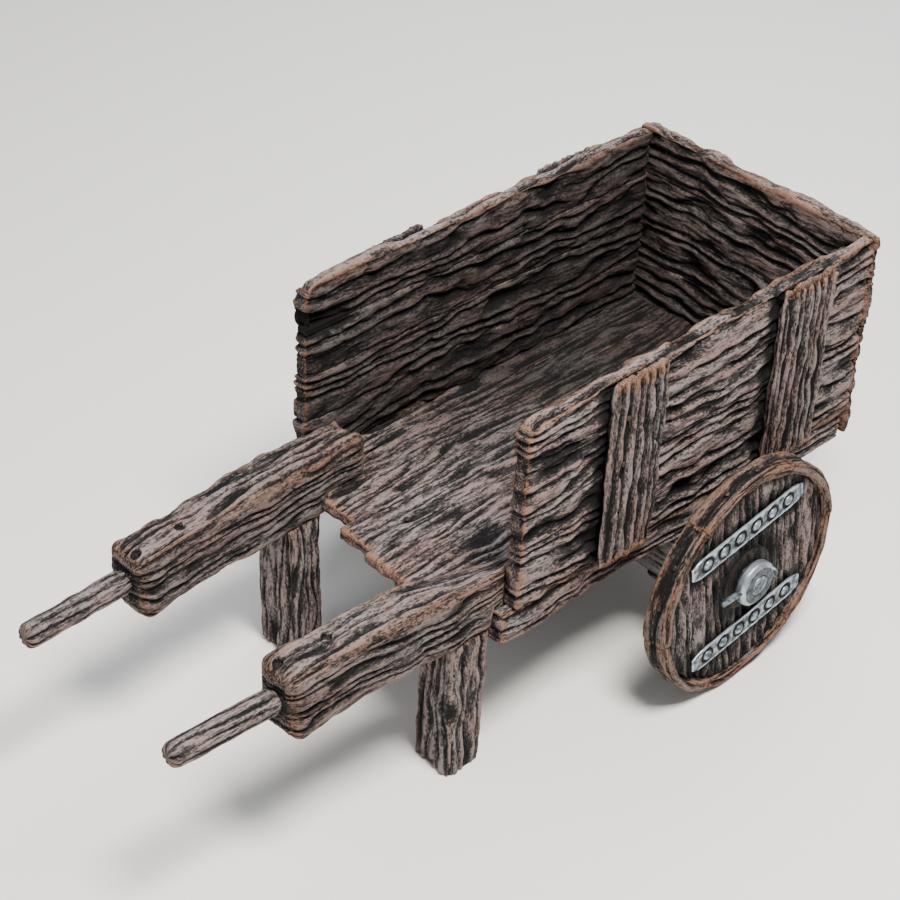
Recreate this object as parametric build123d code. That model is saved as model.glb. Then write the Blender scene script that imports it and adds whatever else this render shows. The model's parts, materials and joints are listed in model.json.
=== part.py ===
from build123d import *
import os
from math import atan2, cos, degrees, radians, sin

# A wooden two-wheeled handcart: an open-fronted plank box on a timber frame, two stub shafts with round
# grips, two legs under the shafts, and two solid plank wheels on a through axle.
# Millimetres. +X runs from the grips to the closed end of the box, +Y to the left, +Z up.
# Stations along X are measured from the front edge of the side boards, and the finished model is
# shifted at export so that its origin is the middle of its box, on the ground.

# ---------------------------------------------------------------- driving dimensions
# Box
SIDE_LENGTH = 915.0  # side boards, front edge to the end boards
BODY_WIDTH = 584.0  # over the outer faces of the side boards
BOARD_THICKNESS = 34.0
SIDE_HEIGHT = 385.0  # side boards, above the floor
COURSES = 4  # planks in the height of each side and of the end
BOARD_GAP = 2.0  # shrinkage gap between neighbouring boards
END_DROP = 55.0  # how far the lowest end board hangs below the floor

# Frame under the box
FLOOR_ABOVE_AXLE = 110.0  # the floor's top over the axle's centre line
SILL_WIDTH = 70.0
SILL_HEIGHT = 70.0
SILL_INSET = 5.0  # sill face behind the side boards' outer face
SILL_HORN = 28.0  # sill in front of the side boards
FLOOR_THICKNESS = 25.0
BEARER_WIDTH = 70.0
BEARER_TENON = 15.0
TENON_SHOULDER = 10.0  # taken off each side of a bearer's tenon
FLOOR_OVERHANGS = (42.0, 74.0, 88.0, 92.0)  # front ends of the four inner floor planks, left to right
SHAFT_TO_FLOOR_GAP = 4.0  # between the inner floor planks and the shafts

# Cleats on the outside of the sides
CLEAT_THICKNESS = 20.0
FRONT_CLEAT_START = 192.0
FRONT_CLEAT_WIDTH = 128.0
REAR_CLEAT_START = 640.0
REAR_CLEAT_WIDTH = 142.0

# Shafts, grips and legs
SHAFT_WIDTH = 93.0
SHAFT_HEIGHT = 128.0
SHAFT_RISE = 80.0  # the shafts' top above the floor
SHAFT_TAIL = 64.0  # how far the tail reaches into the box
SHAFT_FRONT = -465.0  # station of the blunt front end
SHAFT_REBATE = 9.5  # cut off the tail's outer face, so that it lies inside the side boards
SHAFT_TOE_IN = 23.0  # the blunt front end stands this much nearer the cart's middle than the tail
TAIL_BEVEL_START = -190.0  # right shaft: station where the inner top edge begins to fall
TAIL_BEVEL_LEFT = 11.0  # right shaft: wood left above the floor at the tail's inner edge
GRIP_RADIUS = 24.0
GRIP_LENGTH = 215.0
GRIP_NECK = 5.0  # thinner wood between the shaft and the full grip
GRIP_TENON_RADIUS = 22.0
GRIP_SOCKET = 130.0
GRIP_END_ROUND = 14.0
LEG_WIDTH = 88.0
LEG_DEPTH = 87.0
LEG_FOOT_DEPTH = 78.0
LEG_FRONT = -118.0  # station of the leg's front face under the shaft
LEG_TENON_WIDTH = 34.0
LEG_TENON_DEPTH = 50.0
LEG_TENON_HEIGHT = 78.0
PEG_RADIUS = 7.0
PEG_SINK = 6.0  # pegs end this far below the surface
GRIP_PEG_STATIONS = (-449.0, -349.0)
GRIP_PEG_OFFSET = 13.0  # inboard of the grip's centre line
DOWEL_RADIUS = 8.0
DOWEL_REACH = 40.0  # into each of the two timbers
DOWEL_STATIONS = (150.0, 400.0, 580.0, 830.0)

# Running gear
WHEEL_RADIUS = 240.0
WHEEL_STATION = 485.0
WHEEL_WIDTH = 52.0
WHEEL_GAP = 63.0  # between the cleats and the felloes' inner face
FELLOE_DEPTH = 24.0
FELLOE_COUNT = 6
FELLOE_GAP = 1.0
WHEEL_BOARD_THICKNESS = 30.0
CENTRE_BOARD_WIDTH = 176.0
WHEEL_SEAT_GAP = 0.3
WHEEL_TURN = {"right": 9.0, "left": 31.0}  # how far each wheel stands turned, degrees
AXLE_RADIUS = 20.0
RUNNING_CLEARANCE = 0.1
BED_WIDTH = 120.0
BED_HEIGHT = 110.0
BED_SETBACK = 25.0  # the bed ends this far short of the felloes' inner face
NAVE_RADIUS = 64.0
BUSH_WALL = 7.0
BUSH_FLANGE_RADIUS = 38.0
BUSH_FLANGE = 3.0
WASHER_RADIUS = 36.0
INNER_WASHER = 4.0
OUTER_WASHER = 3.0
END_PLAY = 0.4
COLLAR_RADIUS = 46.0
COLLAR_LENGTH = 21.5
LINCHPIN_RADIUS = 6.0
LINCHPIN_TIP = 50.0  # in front of the collar
LINCHPIN_HEAD_RADIUS = 11.0
LINCHPIN_HEAD = 8.0

# Ironwork on the wheels
STRAP_OFFSET = 119.0  # strap centre line to the wheel's centre
STRAP_LENGTH = 306.0
STRAP_WIDTH = 46.0
STRAP_THICKNESS = 4.0
RIVET_COUNT = 6
RIVET_PITCH = 44.4
RIVET_RADIUS = 4.0
RIVET_HEAD_RADIUS = 10.0
RIVET_HEAD = 4.0
ROVE_RADIUS = 9.0
ROVE = 2.5

# Fasteners
FIT = 0.1  # clearance round a driven shank, a peg and a tenon
NAIL_RADIUS = 2.5
NAIL_HEAD_RADIUS = 5.5
NAIL_HEAD = 2.5
NAIL_POINT_COVER = 8.0  # wood left beyond a nail's point
END_NAIL_LENGTH = 75.0
FELLOE_NAIL_LENGTH = 60.0
FELLOE_NAILS = 2  # in each felloe
SCREW_RADIUS = 6.0
SCREW_HEAD = 9.0
SCREW_HEAD_WIDTH = 19.0
SCREW_WASHER_RADIUS = 17.0
SCREW_WASHER = 3.0
SCREW_INSET = 16.0  # coach screws' centres inside the side boards' inner face
SHAFT_SCREW_STATIONS = (-4.0, 44.0)
SHAFT_SCREW_BITE = 50.0  # into the shaft's tail
BED_SCREW_BITE = 55.0  # into the sill
BED_SCREW_OFFSET = 42.0  # from the axle's centre line

# ---------------------------------------------------------------- sizes that follow
BODY_HALF = BODY_WIDTH / 2
BOARD_INNER = BODY_HALF - BOARD_THICKNESS
FLOOR_TOP = WHEEL_RADIUS + FLOOR_ABOVE_AXLE
BOARD_TOP = FLOOR_TOP + SIDE_HEIGHT
COURSE_HEIGHT = (SIDE_HEIGHT - (COURSES - 1) * BOARD_GAP) / COURSES
END_OUTER = SIDE_LENGTH + BOARD_THICKNESS
SILL_OUTER = BODY_HALF - SILL_INSET
SILL_INNER = SILL_OUTER - SILL_WIDTH
SILL_BOTTOM = FLOOR_TOP - SILL_HEIGHT
FLOOR_BOTTOM = FLOOR_TOP - FLOOR_THICKNESS
SHAFT_TOP = FLOOR_TOP + SHAFT_RISE
SHAFT_BOTTOM = SHAFT_TOP - SHAFT_HEIGHT
SHAFT_MIDDLE = (SHAFT_TOP + SHAFT_BOTTOM) / 2
SHAFT_SPREAD_TAIL = BOARD_INNER + SHAFT_REBATE - SHAFT_WIDTH / 2  # centre line, from the middle
SHAFT_TOE = degrees(atan2(SHAFT_TOE_IN, SHAFT_TAIL - SHAFT_FRONT))
LEG_MIDDLE = LEG_FRONT + LEG_DEPTH / 2
WHEEL_INNER_FACE = BODY_HALF + CLEAT_THICKNESS + WHEEL_GAP
WHEEL_OUTER_FACE = WHEEL_INNER_FACE + WHEEL_WIDTH
BED_HALF_LENGTH = WHEEL_INNER_FACE - BED_SETBACK
SCREW_SPREAD = BOARD_INNER - SCREW_INSET
WHEEL_MIDDLE = (WHEEL_OUTER_FACE + WHEEL_INNER_FACE) / 2
FELLOE_INNER_RADIUS = WHEEL_RADIUS - FELLOE_DEPTH
BOARD_FACE = WHEEL_MIDDLE + WHEEL_BOARD_THICKNESS / 2
NAVE_INNER = BED_HALF_LENGTH + INNER_WASHER + END_PLAY
COLLAR_INNER = WHEEL_OUTER_FACE + END_PLAY
AXLE_HALF_LENGTH = COLLAR_INNER + COLLAR_LENGTH
WASHER_INNER = COLLAR_INNER - RUNNING_CLEARANCE - OUTER_WASHER
BUSH_OUTER_FACE = WASHER_INNER - END_PLAY
NAVE_OUTER = BUSH_OUTER_FACE - BUSH_FLANGE
BUSH_RADIUS = AXLE_RADIUS + RUNNING_CLEARANCE + BUSH_WALL
BED_BOTTOM = SILL_BOTTOM - BED_HEIGHT
FRONT_BEARER = BEARER_WIDTH / 2
REAR_BEARER = SIDE_LENGTH - BEARER_WIDTH / 2
GRIP_END = SHAFT_FRONT - GRIP_LENGTH * cos(radians(SHAFT_TOE))
MIDDLE_STATION = (GRIP_END + END_OUTER) / 2  # becomes X = 0

# The floor's inner planks stay clear of the shafts, which come together towards the grips.
TOE_AT_OVERHANG = (SHAFT_TAIL + max(FLOOR_OVERHANGS)) * SHAFT_TOE_IN / (SHAFT_TAIL - SHAFT_FRONT)
FLOOR_INNER_HALF = SHAFT_SPREAD_TAIL - SHAFT_WIDTH / 2 - TOE_AT_OVERHANG - SHAFT_TO_FLOOR_GAP

SIDES = {"left": 1, "right": -1}


# ---------------------------------------------------------------- helpers
def block(x0, x1, y0, y1, z0, z1):
    """A box between two corners, given in any order."""
    middle = Pos((x0 + x1) / 2, (y0 + y1) / 2, (z0 + z1) / 2)
    return middle * Box(abs(x1 - x0), abs(y1 - y0), abs(z1 - z0))


def rod(start, direction, length, radius):
    """A round bar from start, along direction."""
    stock = Cylinder(radius, length, align=(Align.CENTER, Align.CENTER, Align.MIN))
    return Plane(origin=start, z_dir=direction) * stock


def mirrored(shape, side):
    """The shape as drawn for the left side, or its mirror image for the right."""
    return shape if side == "left" else mirror(shape, about=Plane.XZ)


def cut(shape, tools):
    """The shape with each tool taken out of it, where the two meet."""
    low, high = shape.bounding_box().min, shape.bounding_box().max
    for tool in tools:
        box = tool.bounding_box()
        apart = box.min.X > high.X or box.max.X < low.X or box.min.Y > high.Y
        apart = apart or box.max.Y < low.Y or box.min.Z > high.Z or box.max.Z < low.Z
        if not apart:
            shape = shape - tool
    return shape


def nail(start, direction, length, room=0.0):
    """A nail whose head is flush with the surface at start. Room makes it the hole for one."""
    head = rod(start, direction, NAIL_HEAD, NAIL_HEAD_RADIUS + room)
    return head + rod(start, direction, length, NAIL_RADIUS + room)


def coach_screw(x, y, seat, bite, room=0.0):
    """An upright coach screw under a timber: its washer bears on the seat, and its point is at bite."""
    if room:
        return rod((x, y, seat), (0, 0, 1), bite - seat + room, SCREW_RADIUS + room)
    head_top = seat - SCREW_WASHER
    half = SCREW_HEAD_WIDTH / 2
    head = block(x - half, x + half, y - half, y + half, head_top - SCREW_HEAD, head_top)
    return head + rod((x, y, head_top), (0, 0, 1), bite - head_top, SCREW_RADIUS)


def screw_washer(x, y, seat):
    """The washer between a coach screw's head and the timber."""
    plate = rod((x, y, seat - SCREW_WASHER), (0, 0, 1), SCREW_WASHER, SCREW_WASHER_RADIUS)
    return plate - rod((x, y, seat - SCREW_WASHER), (0, 0, 1), SCREW_WASHER, SCREW_RADIUS + FIT)


def course_spans(bottom):
    """The lowest and highest Z of each course of boards, the lowest course starting at bottom."""
    spans = []
    for course in range(COURSES):
        low = FLOOR_TOP + course * (COURSE_HEIGHT + BOARD_GAP)
        spans.append((bottom if course == 0 else low, low + COURSE_HEIGHT))
    return spans


# ---------------------------------------------------------------- fasteners and the holes they need
def nail_places():
    """Every nail of the box as (start, direction, length)."""
    places = []
    for middle, width in cleat_middles():
        for low, high in course_spans(FLOOR_TOP):
            for step in (-1, 1):
                x = middle + step * width / 4
                z = (low + high) / 2 + step * COURSE_HEIGHT / 4
                for sign in SIDES.values():
                    start = (x, sign * (BODY_HALF + CLEAT_THICKNESS), z)
                    length = CLEAT_THICKNESS + BOARD_THICKNESS - NAIL_POINT_COVER
                    places.append((start, (0, -sign, 0), length))
    for low, high in course_spans(FLOOR_TOP):
        for step in (-1, 1):
            z = (low + high) / 2 + step * COURSE_HEIGHT / 4
            for sign in SIDES.values():
                start = (END_OUTER, sign * (BODY_HALF - BOARD_THICKNESS / 2), z)
                places.append((start, (-1, 0, 0), END_NAIL_LENGTH))
    for sign in SIDES.values():
        start = (END_OUTER, sign * SCREW_SPREAD, FLOOR_TOP - END_DROP / 2)
        places.append((start, (-1, 0, 0), END_NAIL_LENGTH))
    for low, high in floor_spans():
        across = (0.5,) if high - low < BEARER_WIDTH else (0.25, 0.75)
        for bearer in (FRONT_BEARER, WHEEL_STATION, REAR_BEARER):
            for share in across:
                start = (bearer, low + share * (high - low), FLOOR_TOP)
                length = FLOOR_TOP - SILL_BOTTOM - NAIL_POINT_COVER
                places.append((start, (0, 0, -1), length))
    return places


def cleat_middles():
    """(station of the middle, width) of the two cleats on each side."""
    return (
        (FRONT_CLEAT_START + FRONT_CLEAT_WIDTH / 2, FRONT_CLEAT_WIDTH),
        (REAR_CLEAT_START + REAR_CLEAT_WIDTH / 2, REAR_CLEAT_WIDTH),
    )


def floor_spans():
    """The lowest and highest Y of the six floor planks, from the left to the right."""
    pitch = 2 * FLOOR_INNER_HALF / len(FLOOR_OVERHANGS)
    spans = [(FLOOR_INNER_HALF + BOARD_GAP / 2, SILL_INNER)]
    for n in range(len(FLOOR_OVERHANGS)):
        high = FLOOR_INNER_HALF - n * pitch
        spans.append((high - pitch + BOARD_GAP / 2, high - BOARD_GAP / 2))
    spans.append((-SILL_INNER, -FLOOR_INNER_HALF - BOARD_GAP / 2))
    return spans


def screw_places():
    """Every coach screw as (x, y, seat, height of its point)."""
    places = []
    for sign in SIDES.values():
        for x in SHAFT_SCREW_STATIONS:
            places.append((x, sign * SCREW_SPREAD, SILL_BOTTOM, FLOOR_TOP + SHAFT_SCREW_BITE))
        for step in (-1, 1):
            x = WHEEL_STATION + step * BED_SCREW_OFFSET
            places.append((x, sign * SCREW_SPREAD, BED_BOTTOM, SILL_BOTTOM + BED_SCREW_BITE))
    return places


def dowel_places():
    """The lower end of each dowel that stands in a sill and holds the lowest side board."""
    y = BODY_HALF - BOARD_THICKNESS / 2
    return [(x, sign * y, FLOOR_TOP - DOWEL_REACH) for x in DOWEL_STATIONS for sign in SIDES.values()]


nails = [nail(*place) for place in nail_places()]
nail_holes = [nail(*place, room=FIT) for place in nail_places()]
screws = [coach_screw(*place) for place in screw_places()]
screw_holes = [coach_screw(*place, room=FIT) for place in screw_places()]
dowels = [rod(p, (0, 0, 1), 2 * DOWEL_REACH, DOWEL_RADIUS) for p in dowel_places()]
dowel_holes = [rod(p, (0, 0, 1), 2 * DOWEL_REACH, DOWEL_RADIUS + FIT) for p in dowel_places()]
box_holes = nail_holes + dowel_holes + screw_holes

nodes = {}


# ---------------------------------------------------------------- frame under the box
def bearer(station):
    """A cross timber between the sills, tenoned into both."""
    half = BEARER_WIDTH / 2
    body = block(station - half, station + half, -SILL_INNER, SILL_INNER, SILL_BOTTOM, FLOOR_BOTTOM)
    half -= TENON_SHOULDER
    reach = SILL_INNER + BEARER_TENON
    low, high = SILL_BOTTOM + TENON_SHOULDER, FLOOR_BOTTOM - TENON_SHOULDER
    return body + block(station - half, station + half, -reach, reach, low, high)


def sill(side):
    """A long timber under a side, mortised for the bearers."""
    body = block(-SILL_HORN, SIDE_LENGTH, SILL_INNER, SILL_OUTER, SILL_BOTTOM, FLOOR_TOP)
    half = BEARER_WIDTH / 2 - TENON_SHOULDER + FIT
    low, high = SILL_BOTTOM + TENON_SHOULDER - FIT, FLOOR_BOTTOM - TENON_SHOULDER + FIT
    for x in (FRONT_BEARER, WHEEL_STATION, REAR_BEARER):
        body -= block(x - half, x + half, SILL_INNER, SILL_INNER + BEARER_TENON + FIT, low, high)
    return cut(mirrored(body, side), box_holes)


nodes["front_bearer"] = cut(bearer(FRONT_BEARER), nail_holes)
nodes["middle_bearer"] = cut(bearer(WHEEL_STATION), nail_holes)
nodes["rear_bearer"] = cut(bearer(REAR_BEARER), nail_holes)
for side in SIDES:
    nodes[f"{side}_sill"] = sill(side)

for number, (low, high) in enumerate(floor_spans(), start=1):
    outermost = number in (1, len(floor_spans()))
    front = SILL_HORN if outermost else FLOOR_OVERHANGS[number - 2]
    plank = block(-front, SIDE_LENGTH, low, high, FLOOR_BOTTOM, FLOOR_TOP)
    nodes[f"floor_plank_{number}"] = cut(plank, nail_holes)


# ---------------------------------------------------------------- sides, end and cleats
for side, sign in SIDES.items():
    for number, (low, high) in enumerate(course_spans(FLOOR_TOP), start=1):
        plank = block(0, SIDE_LENGTH, sign * BOARD_INNER, sign * BODY_HALF, low, high)
        nodes[f"{side}_side_plank_{number}"] = cut(plank, nail_holes + dowel_holes)
    for place, (middle, width) in zip(("front", "rear"), cleat_middles()):
        outer = sign * (BODY_HALF + CLEAT_THICKNESS)
        x0, x1 = middle - width / 2, middle + width / 2
        cleat = block(x0, x1, sign * BODY_HALF, outer, FLOOR_TOP, BOARD_TOP)
        nodes[f"{side}_{place}_cleat"] = cut(cleat, nail_holes)

for number, (low, high) in enumerate(course_spans(FLOOR_TOP - END_DROP), start=1):
    plank = block(SIDE_LENGTH, END_OUTER, -BODY_HALF, BODY_HALF, low, high)
    nodes[f"end_plank_{number}"] = cut(plank, nail_holes)


# ---------------------------------------------------------------- shafts, grips and legs
def on_shaft(shape):
    """Takes a shape drawn along X, beside the left shaft's centre line, to its toed-in place."""
    return Pos(SHAFT_TAIL, SHAFT_SPREAD_TAIL, 0) * Rot(0, 0, SHAFT_TOE) * Pos(-SHAFT_TAIL, 0, 0) * shape


def grip_bar(room=0.0):
    """A round grip on its tenon, or with room the shaft's socket for the tenon."""
    start = (SHAFT_FRONT + GRIP_SOCKET, 0, SHAFT_MIDDLE)
    tenon = rod(start, (-1, 0, 0), GRIP_SOCKET + GRIP_NECK, GRIP_TENON_RADIUS + room)
    if room:
        return tenon
    start = (SHAFT_FRONT - GRIP_NECK, 0, SHAFT_MIDDLE)
    bar = rod(start, (-1, 0, 0), GRIP_LENGTH - GRIP_NECK, GRIP_RADIUS)
    return fillet(bar.edges().sort_by(Axis.X)[0], GRIP_END_ROUND) + tenon


def leg_bar():
    """A leg that narrows a little to its foot, with a tenon on top."""
    front, back = LEG_FRONT, LEG_FRONT + LEG_DEPTH
    foot = LEG_MIDDLE - LEG_FOOT_DEPTH / 2
    with BuildPart() as part:
        with BuildSketch(Plane.XZ.offset(-LEG_WIDTH / 2)):
            corners = [(foot, 0), (foot + LEG_FOOT_DEPTH, 0), (back, SHAFT_BOTTOM), (front, SHAFT_BOTTOM)]
            Polygon(*corners, align=None)
        extrude(amount=LEG_WIDTH)
    return part.part + leg_tenon()


def leg_tenon(room=0.0):
    """The tenon on top of a leg, or with room the mortise for it."""
    half_depth, half_width = LEG_TENON_DEPTH / 2 + room, LEG_TENON_WIDTH / 2 + room
    top = SHAFT_BOTTOM + LEG_TENON_HEIGHT + room
    x0, x1 = LEG_MIDDLE - half_depth, LEG_MIDDLE + half_depth
    return block(x0, x1, -half_width, half_width, SHAFT_BOTTOM, top)


def grip_peg(station, room=0.0):
    """An upright peg that locks the grip in its socket."""
    length = SHAFT_HEIGHT / 2 + GRIP_TENON_RADIUS
    top = SHAFT_TOP + room if room else SHAFT_TOP - PEG_SINK
    low = SHAFT_TOP - length
    return rod((station, -GRIP_PEG_OFFSET, low), (0, 0, 1), top - low, PEG_RADIUS + room)


def leg_peg(room=0.0):
    """A level peg through the shaft and the leg's tenon."""
    half = SHAFT_WIDTH / 2 + (room if room else -PEG_SINK)
    start = (LEG_MIDDLE, -half, SHAFT_BOTTOM + LEG_TENON_HEIGHT / 2)
    return rod(start, (0, 1, 0), 2 * half, PEG_RADIUS + room)


def tail_bevel():
    """What is taken off the right shaft's tail, whose top falls inwards to the floor."""
    inner = -(SHAFT_SPREAD_TAIL - SHAFT_WIDTH / 2)
    outer = -(SHAFT_SPREAD_TAIL + SHAFT_WIDTH / 2)
    high_corner = Vector(SHAFT_TAIL, outer, SHAFT_TOP)
    low_corner = Vector(SHAFT_TAIL, inner, FLOOR_TOP + TAIL_BEVEL_LEFT)
    start = Vector(TAIL_BEVEL_START, inner, SHAFT_TOP)
    normal = (low_corner - high_corner).cross(start - high_corner)
    normal = normal if normal.Z > 0 else -normal
    stock = Box(4 * SHAFT_HEIGHT, 4 * SHAFT_HEIGHT, SHAFT_HEIGHT, align=(Align.CENTER, Align.CENTER, Align.MIN))
    return Plane(origin=high_corner, z_dir=normal) * stock


def shaft(side):
    """A stub shaft. Its tail laps over the sill and is rebated to lie inside the side boards."""
    half = SHAFT_WIDTH / 2
    body = block(SHAFT_FRONT, SHAFT_TAIL, -half, half, SHAFT_BOTTOM, SHAFT_TOP)
    body -= grip_bar(FIT)
    body -= leg_tenon(FIT)
    body -= leg_peg(FIT)
    for station in GRIP_PEG_STATIONS:
        body -= grip_peg(station, FIT)
    body = on_shaft(body)
    body -= block(-SILL_HORN, 2 * SHAFT_TAIL, 0, BODY_WIDTH, 0, FLOOR_TOP)
    body -= block(0, 2 * SHAFT_TAIL, BOARD_INNER, BODY_WIDTH, FLOOR_TOP, 2 * SHAFT_TOP)
    body = mirrored(body, side)
    if side == "right":
        body -= tail_bevel()
    return cut(body, screw_holes)


pegs = list(dowels)
for side in SIDES:
    peg_holes = [grip_peg(station, FIT) for station in GRIP_PEG_STATIONS]
    grip = cut(grip_bar(), peg_holes)
    leg = leg_bar() - leg_peg(FIT)
    nodes[f"{side}_shaft"] = shaft(side)
    nodes[f"{side}_grip"] = mirrored(on_shaft(grip), side)
    nodes[f"{side}_leg"] = mirrored(on_shaft(leg), side)
    for peg in [leg_peg()] + [grip_peg(station) for station in GRIP_PEG_STATIONS]:
        pegs.append(mirrored(on_shaft(peg), side))


# ---------------------------------------------------------------- axle
def linchpin(sign, room=0.0):
    """A pin across the collar and the axle, its tip towards the grips."""
    y = sign * (COLLAR_INNER + COLLAR_LENGTH / 2)
    back = WHEEL_STATION + COLLAR_RADIUS
    length = 2 * COLLAR_RADIUS + LINCHPIN_TIP
    pin = rod((back, y, WHEEL_RADIUS), (-1, 0, 0), length, LINCHPIN_RADIUS + room)
    if room:
        return pin
    pin = chamfer(pin.edges().sort_by(Axis.X)[0], LINCHPIN_RADIUS / 2)
    return pin + rod((back, y, WHEEL_RADIUS), (1, 0, 0), LINCHPIN_HEAD, LINCHPIN_HEAD_RADIUS)


def ring(y, direction, length, radius, bore):
    """A plain ring on the axle's centre line."""
    start = (WHEEL_STATION, y, WHEEL_RADIUS)
    return rod(start, direction, length, radius) - rod(start, direction, length, bore)


bed_half = BED_WIDTH / 2
bed = block(
    WHEEL_STATION - bed_half,
    WHEEL_STATION + bed_half,
    -BED_HALF_LENGTH,
    BED_HALF_LENGTH,
    BED_BOTTOM,
    SILL_BOTTOM,
)
axle_start = (WHEEL_STATION, -AXLE_HALF_LENGTH, WHEEL_RADIUS)
bed -= rod(axle_start, (0, 1, 0), 2 * AXLE_HALF_LENGTH, AXLE_RADIUS + FIT)
nodes["axle_bed"] = cut(bed, screw_holes)

axle = rod(axle_start, (0, 1, 0), 2 * AXLE_HALF_LENGTH, AXLE_RADIUS)
collars, washers, linchpins = [], [], []
for sign in SIDES.values():
    out = (0, sign, 0)
    axle -= linchpin(sign, FIT)
    collar = ring(sign * COLLAR_INNER, out, COLLAR_LENGTH, COLLAR_RADIUS, AXLE_RADIUS + FIT)
    collars.append(collar - linchpin(sign, FIT))
    linchpins.append(linchpin(sign))
    washers.append(ring(sign * BED_HALF_LENGTH, out, INNER_WASHER, WASHER_RADIUS, AXLE_RADIUS + FIT))
    washers.append(ring(sign * WASHER_INNER, out, OUTER_WASHER, WASHER_RADIUS, AXLE_RADIUS + FIT))
nodes["axle"] = axle
nodes["axle_collars"] = Compound(collars)
nodes["thrust_washers"] = Compound(washers)
nodes["linchpins"] = Compound(linchpins)


# ---------------------------------------------------------------- wheels
# A wheel is drawn with its axis along +Z, pointing outwards, and its face upright in X and Y.
def strap_rows():
    """The two straps as +1 and -1, above and below the nave."""
    return (1, -1)


def rivet_places():
    """Where the rivets stand on the wheel's face, before it is turned."""
    first = -(RIVET_COUNT - 1) / 2 * RIVET_PITCH
    along = [first + n * RIVET_PITCH for n in range(RIVET_COUNT)]
    return [(x, row * STRAP_OFFSET) for row in strap_rows() for x in along]


def upright(x, y, low, high, radius):
    """A round bar parallel to the wheel's axis."""
    return rod((x, y, low), (0, 0, 1), high - low, radius)


def rivet(x, y):
    """A rivet through a strap and a board, with its rove on the inner face."""
    face = BOARD_FACE + STRAP_THICKNESS
    back = BOARD_FACE - WHEEL_BOARD_THICKNESS
    head = upright(x, y, face, face + RIVET_HEAD, RIVET_HEAD_RADIUS)
    head = fillet(head.edges().sort_by(Axis.Z)[-1], RIVET_HEAD * 0.8)
    rove = upright(x, y, back - ROVE, back, ROVE_RADIUS)
    return head + rove + upright(x, y, back, face, RIVET_RADIUS)


def wheel_boards():
    """Three boards that make the disc. Their grain runs up, across the straps."""
    radius = FELLOE_INNER_RADIUS - WHEEL_SEAT_GAP
    low, high = BOARD_FACE - WHEEL_BOARD_THICKNESS, BOARD_FACE
    disc = upright(0, 0, low, high, radius) - upright(0, 0, low, high, NAVE_RADIUS + FIT)
    for x, y in rivet_places():
        disc -= upright(x, y, low, high, RIVET_RADIUS + FIT)
    disc = cut(disc, [felloe_nail(angle, FIT) for angle in felloe_nail_angles()])
    half = CENTRE_BOARD_WIDTH / 2
    edges = (-radius - 1, -half, half, radius + 1)
    boards = []
    for left, right in zip(edges, edges[1:]):
        x0 = left + (BOARD_GAP / 4 if left == half else 0)
        x1 = right - (BOARD_GAP / 4 if right == -half else 0)
        boards.append(disc & block(x0, x1, -radius - 1, radius + 1, low - 1, high + 1))
    return boards


def felloe_nail_angles():
    """Directions of the nails that hold the felloes to the disc, in degrees."""
    step = 360 / FELLOE_COUNT
    shares = [(n + 1) / (FELLOE_NAILS + 1) for n in range(FELLOE_NAILS)]
    return [(n + share) * step for n in range(FELLOE_COUNT) for share in shares]


def felloe_nail(angle, room=0.0):
    """A nail from the tread towards the wheel's centre."""
    away = Vector(cos(radians(angle)), sin(radians(angle)), 0)
    start = away * (WHEEL_RADIUS - NAIL_HEAD) + Vector(0, 0, WHEEL_MIDDLE)
    return nail(tuple(start), tuple(-away), FELLOE_NAIL_LENGTH, room)


def felloes():
    """The rim, in equal bent blocks."""
    rim = upright(0, 0, WHEEL_INNER_FACE, WHEEL_OUTER_FACE, WHEEL_RADIUS)
    rim -= upright(0, 0, WHEEL_INNER_FACE, WHEEL_OUTER_FACE, FELLOE_INNER_RADIUS)
    for n in range(FELLOE_COUNT):
        saw = block(0, 2 * WHEEL_RADIUS, -FELLOE_GAP / 2, FELLOE_GAP / 2, 0, 2 * WHEEL_OUTER_FACE)
        rim -= Rot(0, 0, n * 360 / FELLOE_COUNT) * saw
    sinks = []
    for angle in felloe_nail_angles():
        away = Vector(cos(radians(angle)), sin(radians(angle)), 0)
        start = away * WHEEL_RADIUS * 1.01 + Vector(0, 0, WHEEL_MIDDLE)
        depth = WHEEL_RADIUS * 0.01 + NAIL_HEAD
        sinks.append(rod(tuple(start), tuple(-away), depth, NAIL_HEAD_RADIUS + FIT))
    holes = [felloe_nail(angle, FIT) for angle in felloe_nail_angles()]
    return [cut(piece, sinks + holes) for piece in rim.solids()]


def wheel_straps():
    """The two iron straps across the boards."""
    straps = []
    for row in strap_rows():
        y = row * STRAP_OFFSET
        half = STRAP_WIDTH / 2
        x = STRAP_LENGTH / 2
        strap = block(-x, x, y - half, y + half, BOARD_FACE, BOARD_FACE + STRAP_THICKNESS)
        for place in rivet_places():
            if place[1] == y:
                strap -= upright(*place, BOARD_FACE, BOARD_FACE + STRAP_THICKNESS, RIVET_RADIUS + FIT)
        straps.append(strap)
    return straps


def nave():
    """The wooden boss in the middle of the disc."""
    boss = upright(0, 0, NAVE_INNER, NAVE_OUTER, NAVE_RADIUS)
    return boss - upright(0, 0, NAVE_INNER, NAVE_OUTER, BUSH_RADIUS + FIT)


def hub_bush():
    """The iron bush that runs on the axle, flanged outside."""
    sleeve = upright(0, 0, NAVE_INNER, BUSH_OUTER_FACE, BUSH_RADIUS)
    sleeve += upright(0, 0, NAVE_OUTER, BUSH_OUTER_FACE, BUSH_FLANGE_RADIUS)
    return sleeve - upright(0, 0, NAVE_INNER, BUSH_OUTER_FACE, AXLE_RADIUS + RUNNING_CLEARANCE)


def placed_wheel(side, shape):
    """Turns a wheel's piece to its rest angle and sets it up on the axle."""
    turned = Rot(0, 0, WHEEL_TURN[side]) * shape
    standing = Pos(WHEEL_STATION, 0, WHEEL_RADIUS) * Rot(90, 0, 0) * turned
    return standing if side == "right" else mirror(standing, about=Plane.XZ)


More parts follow.
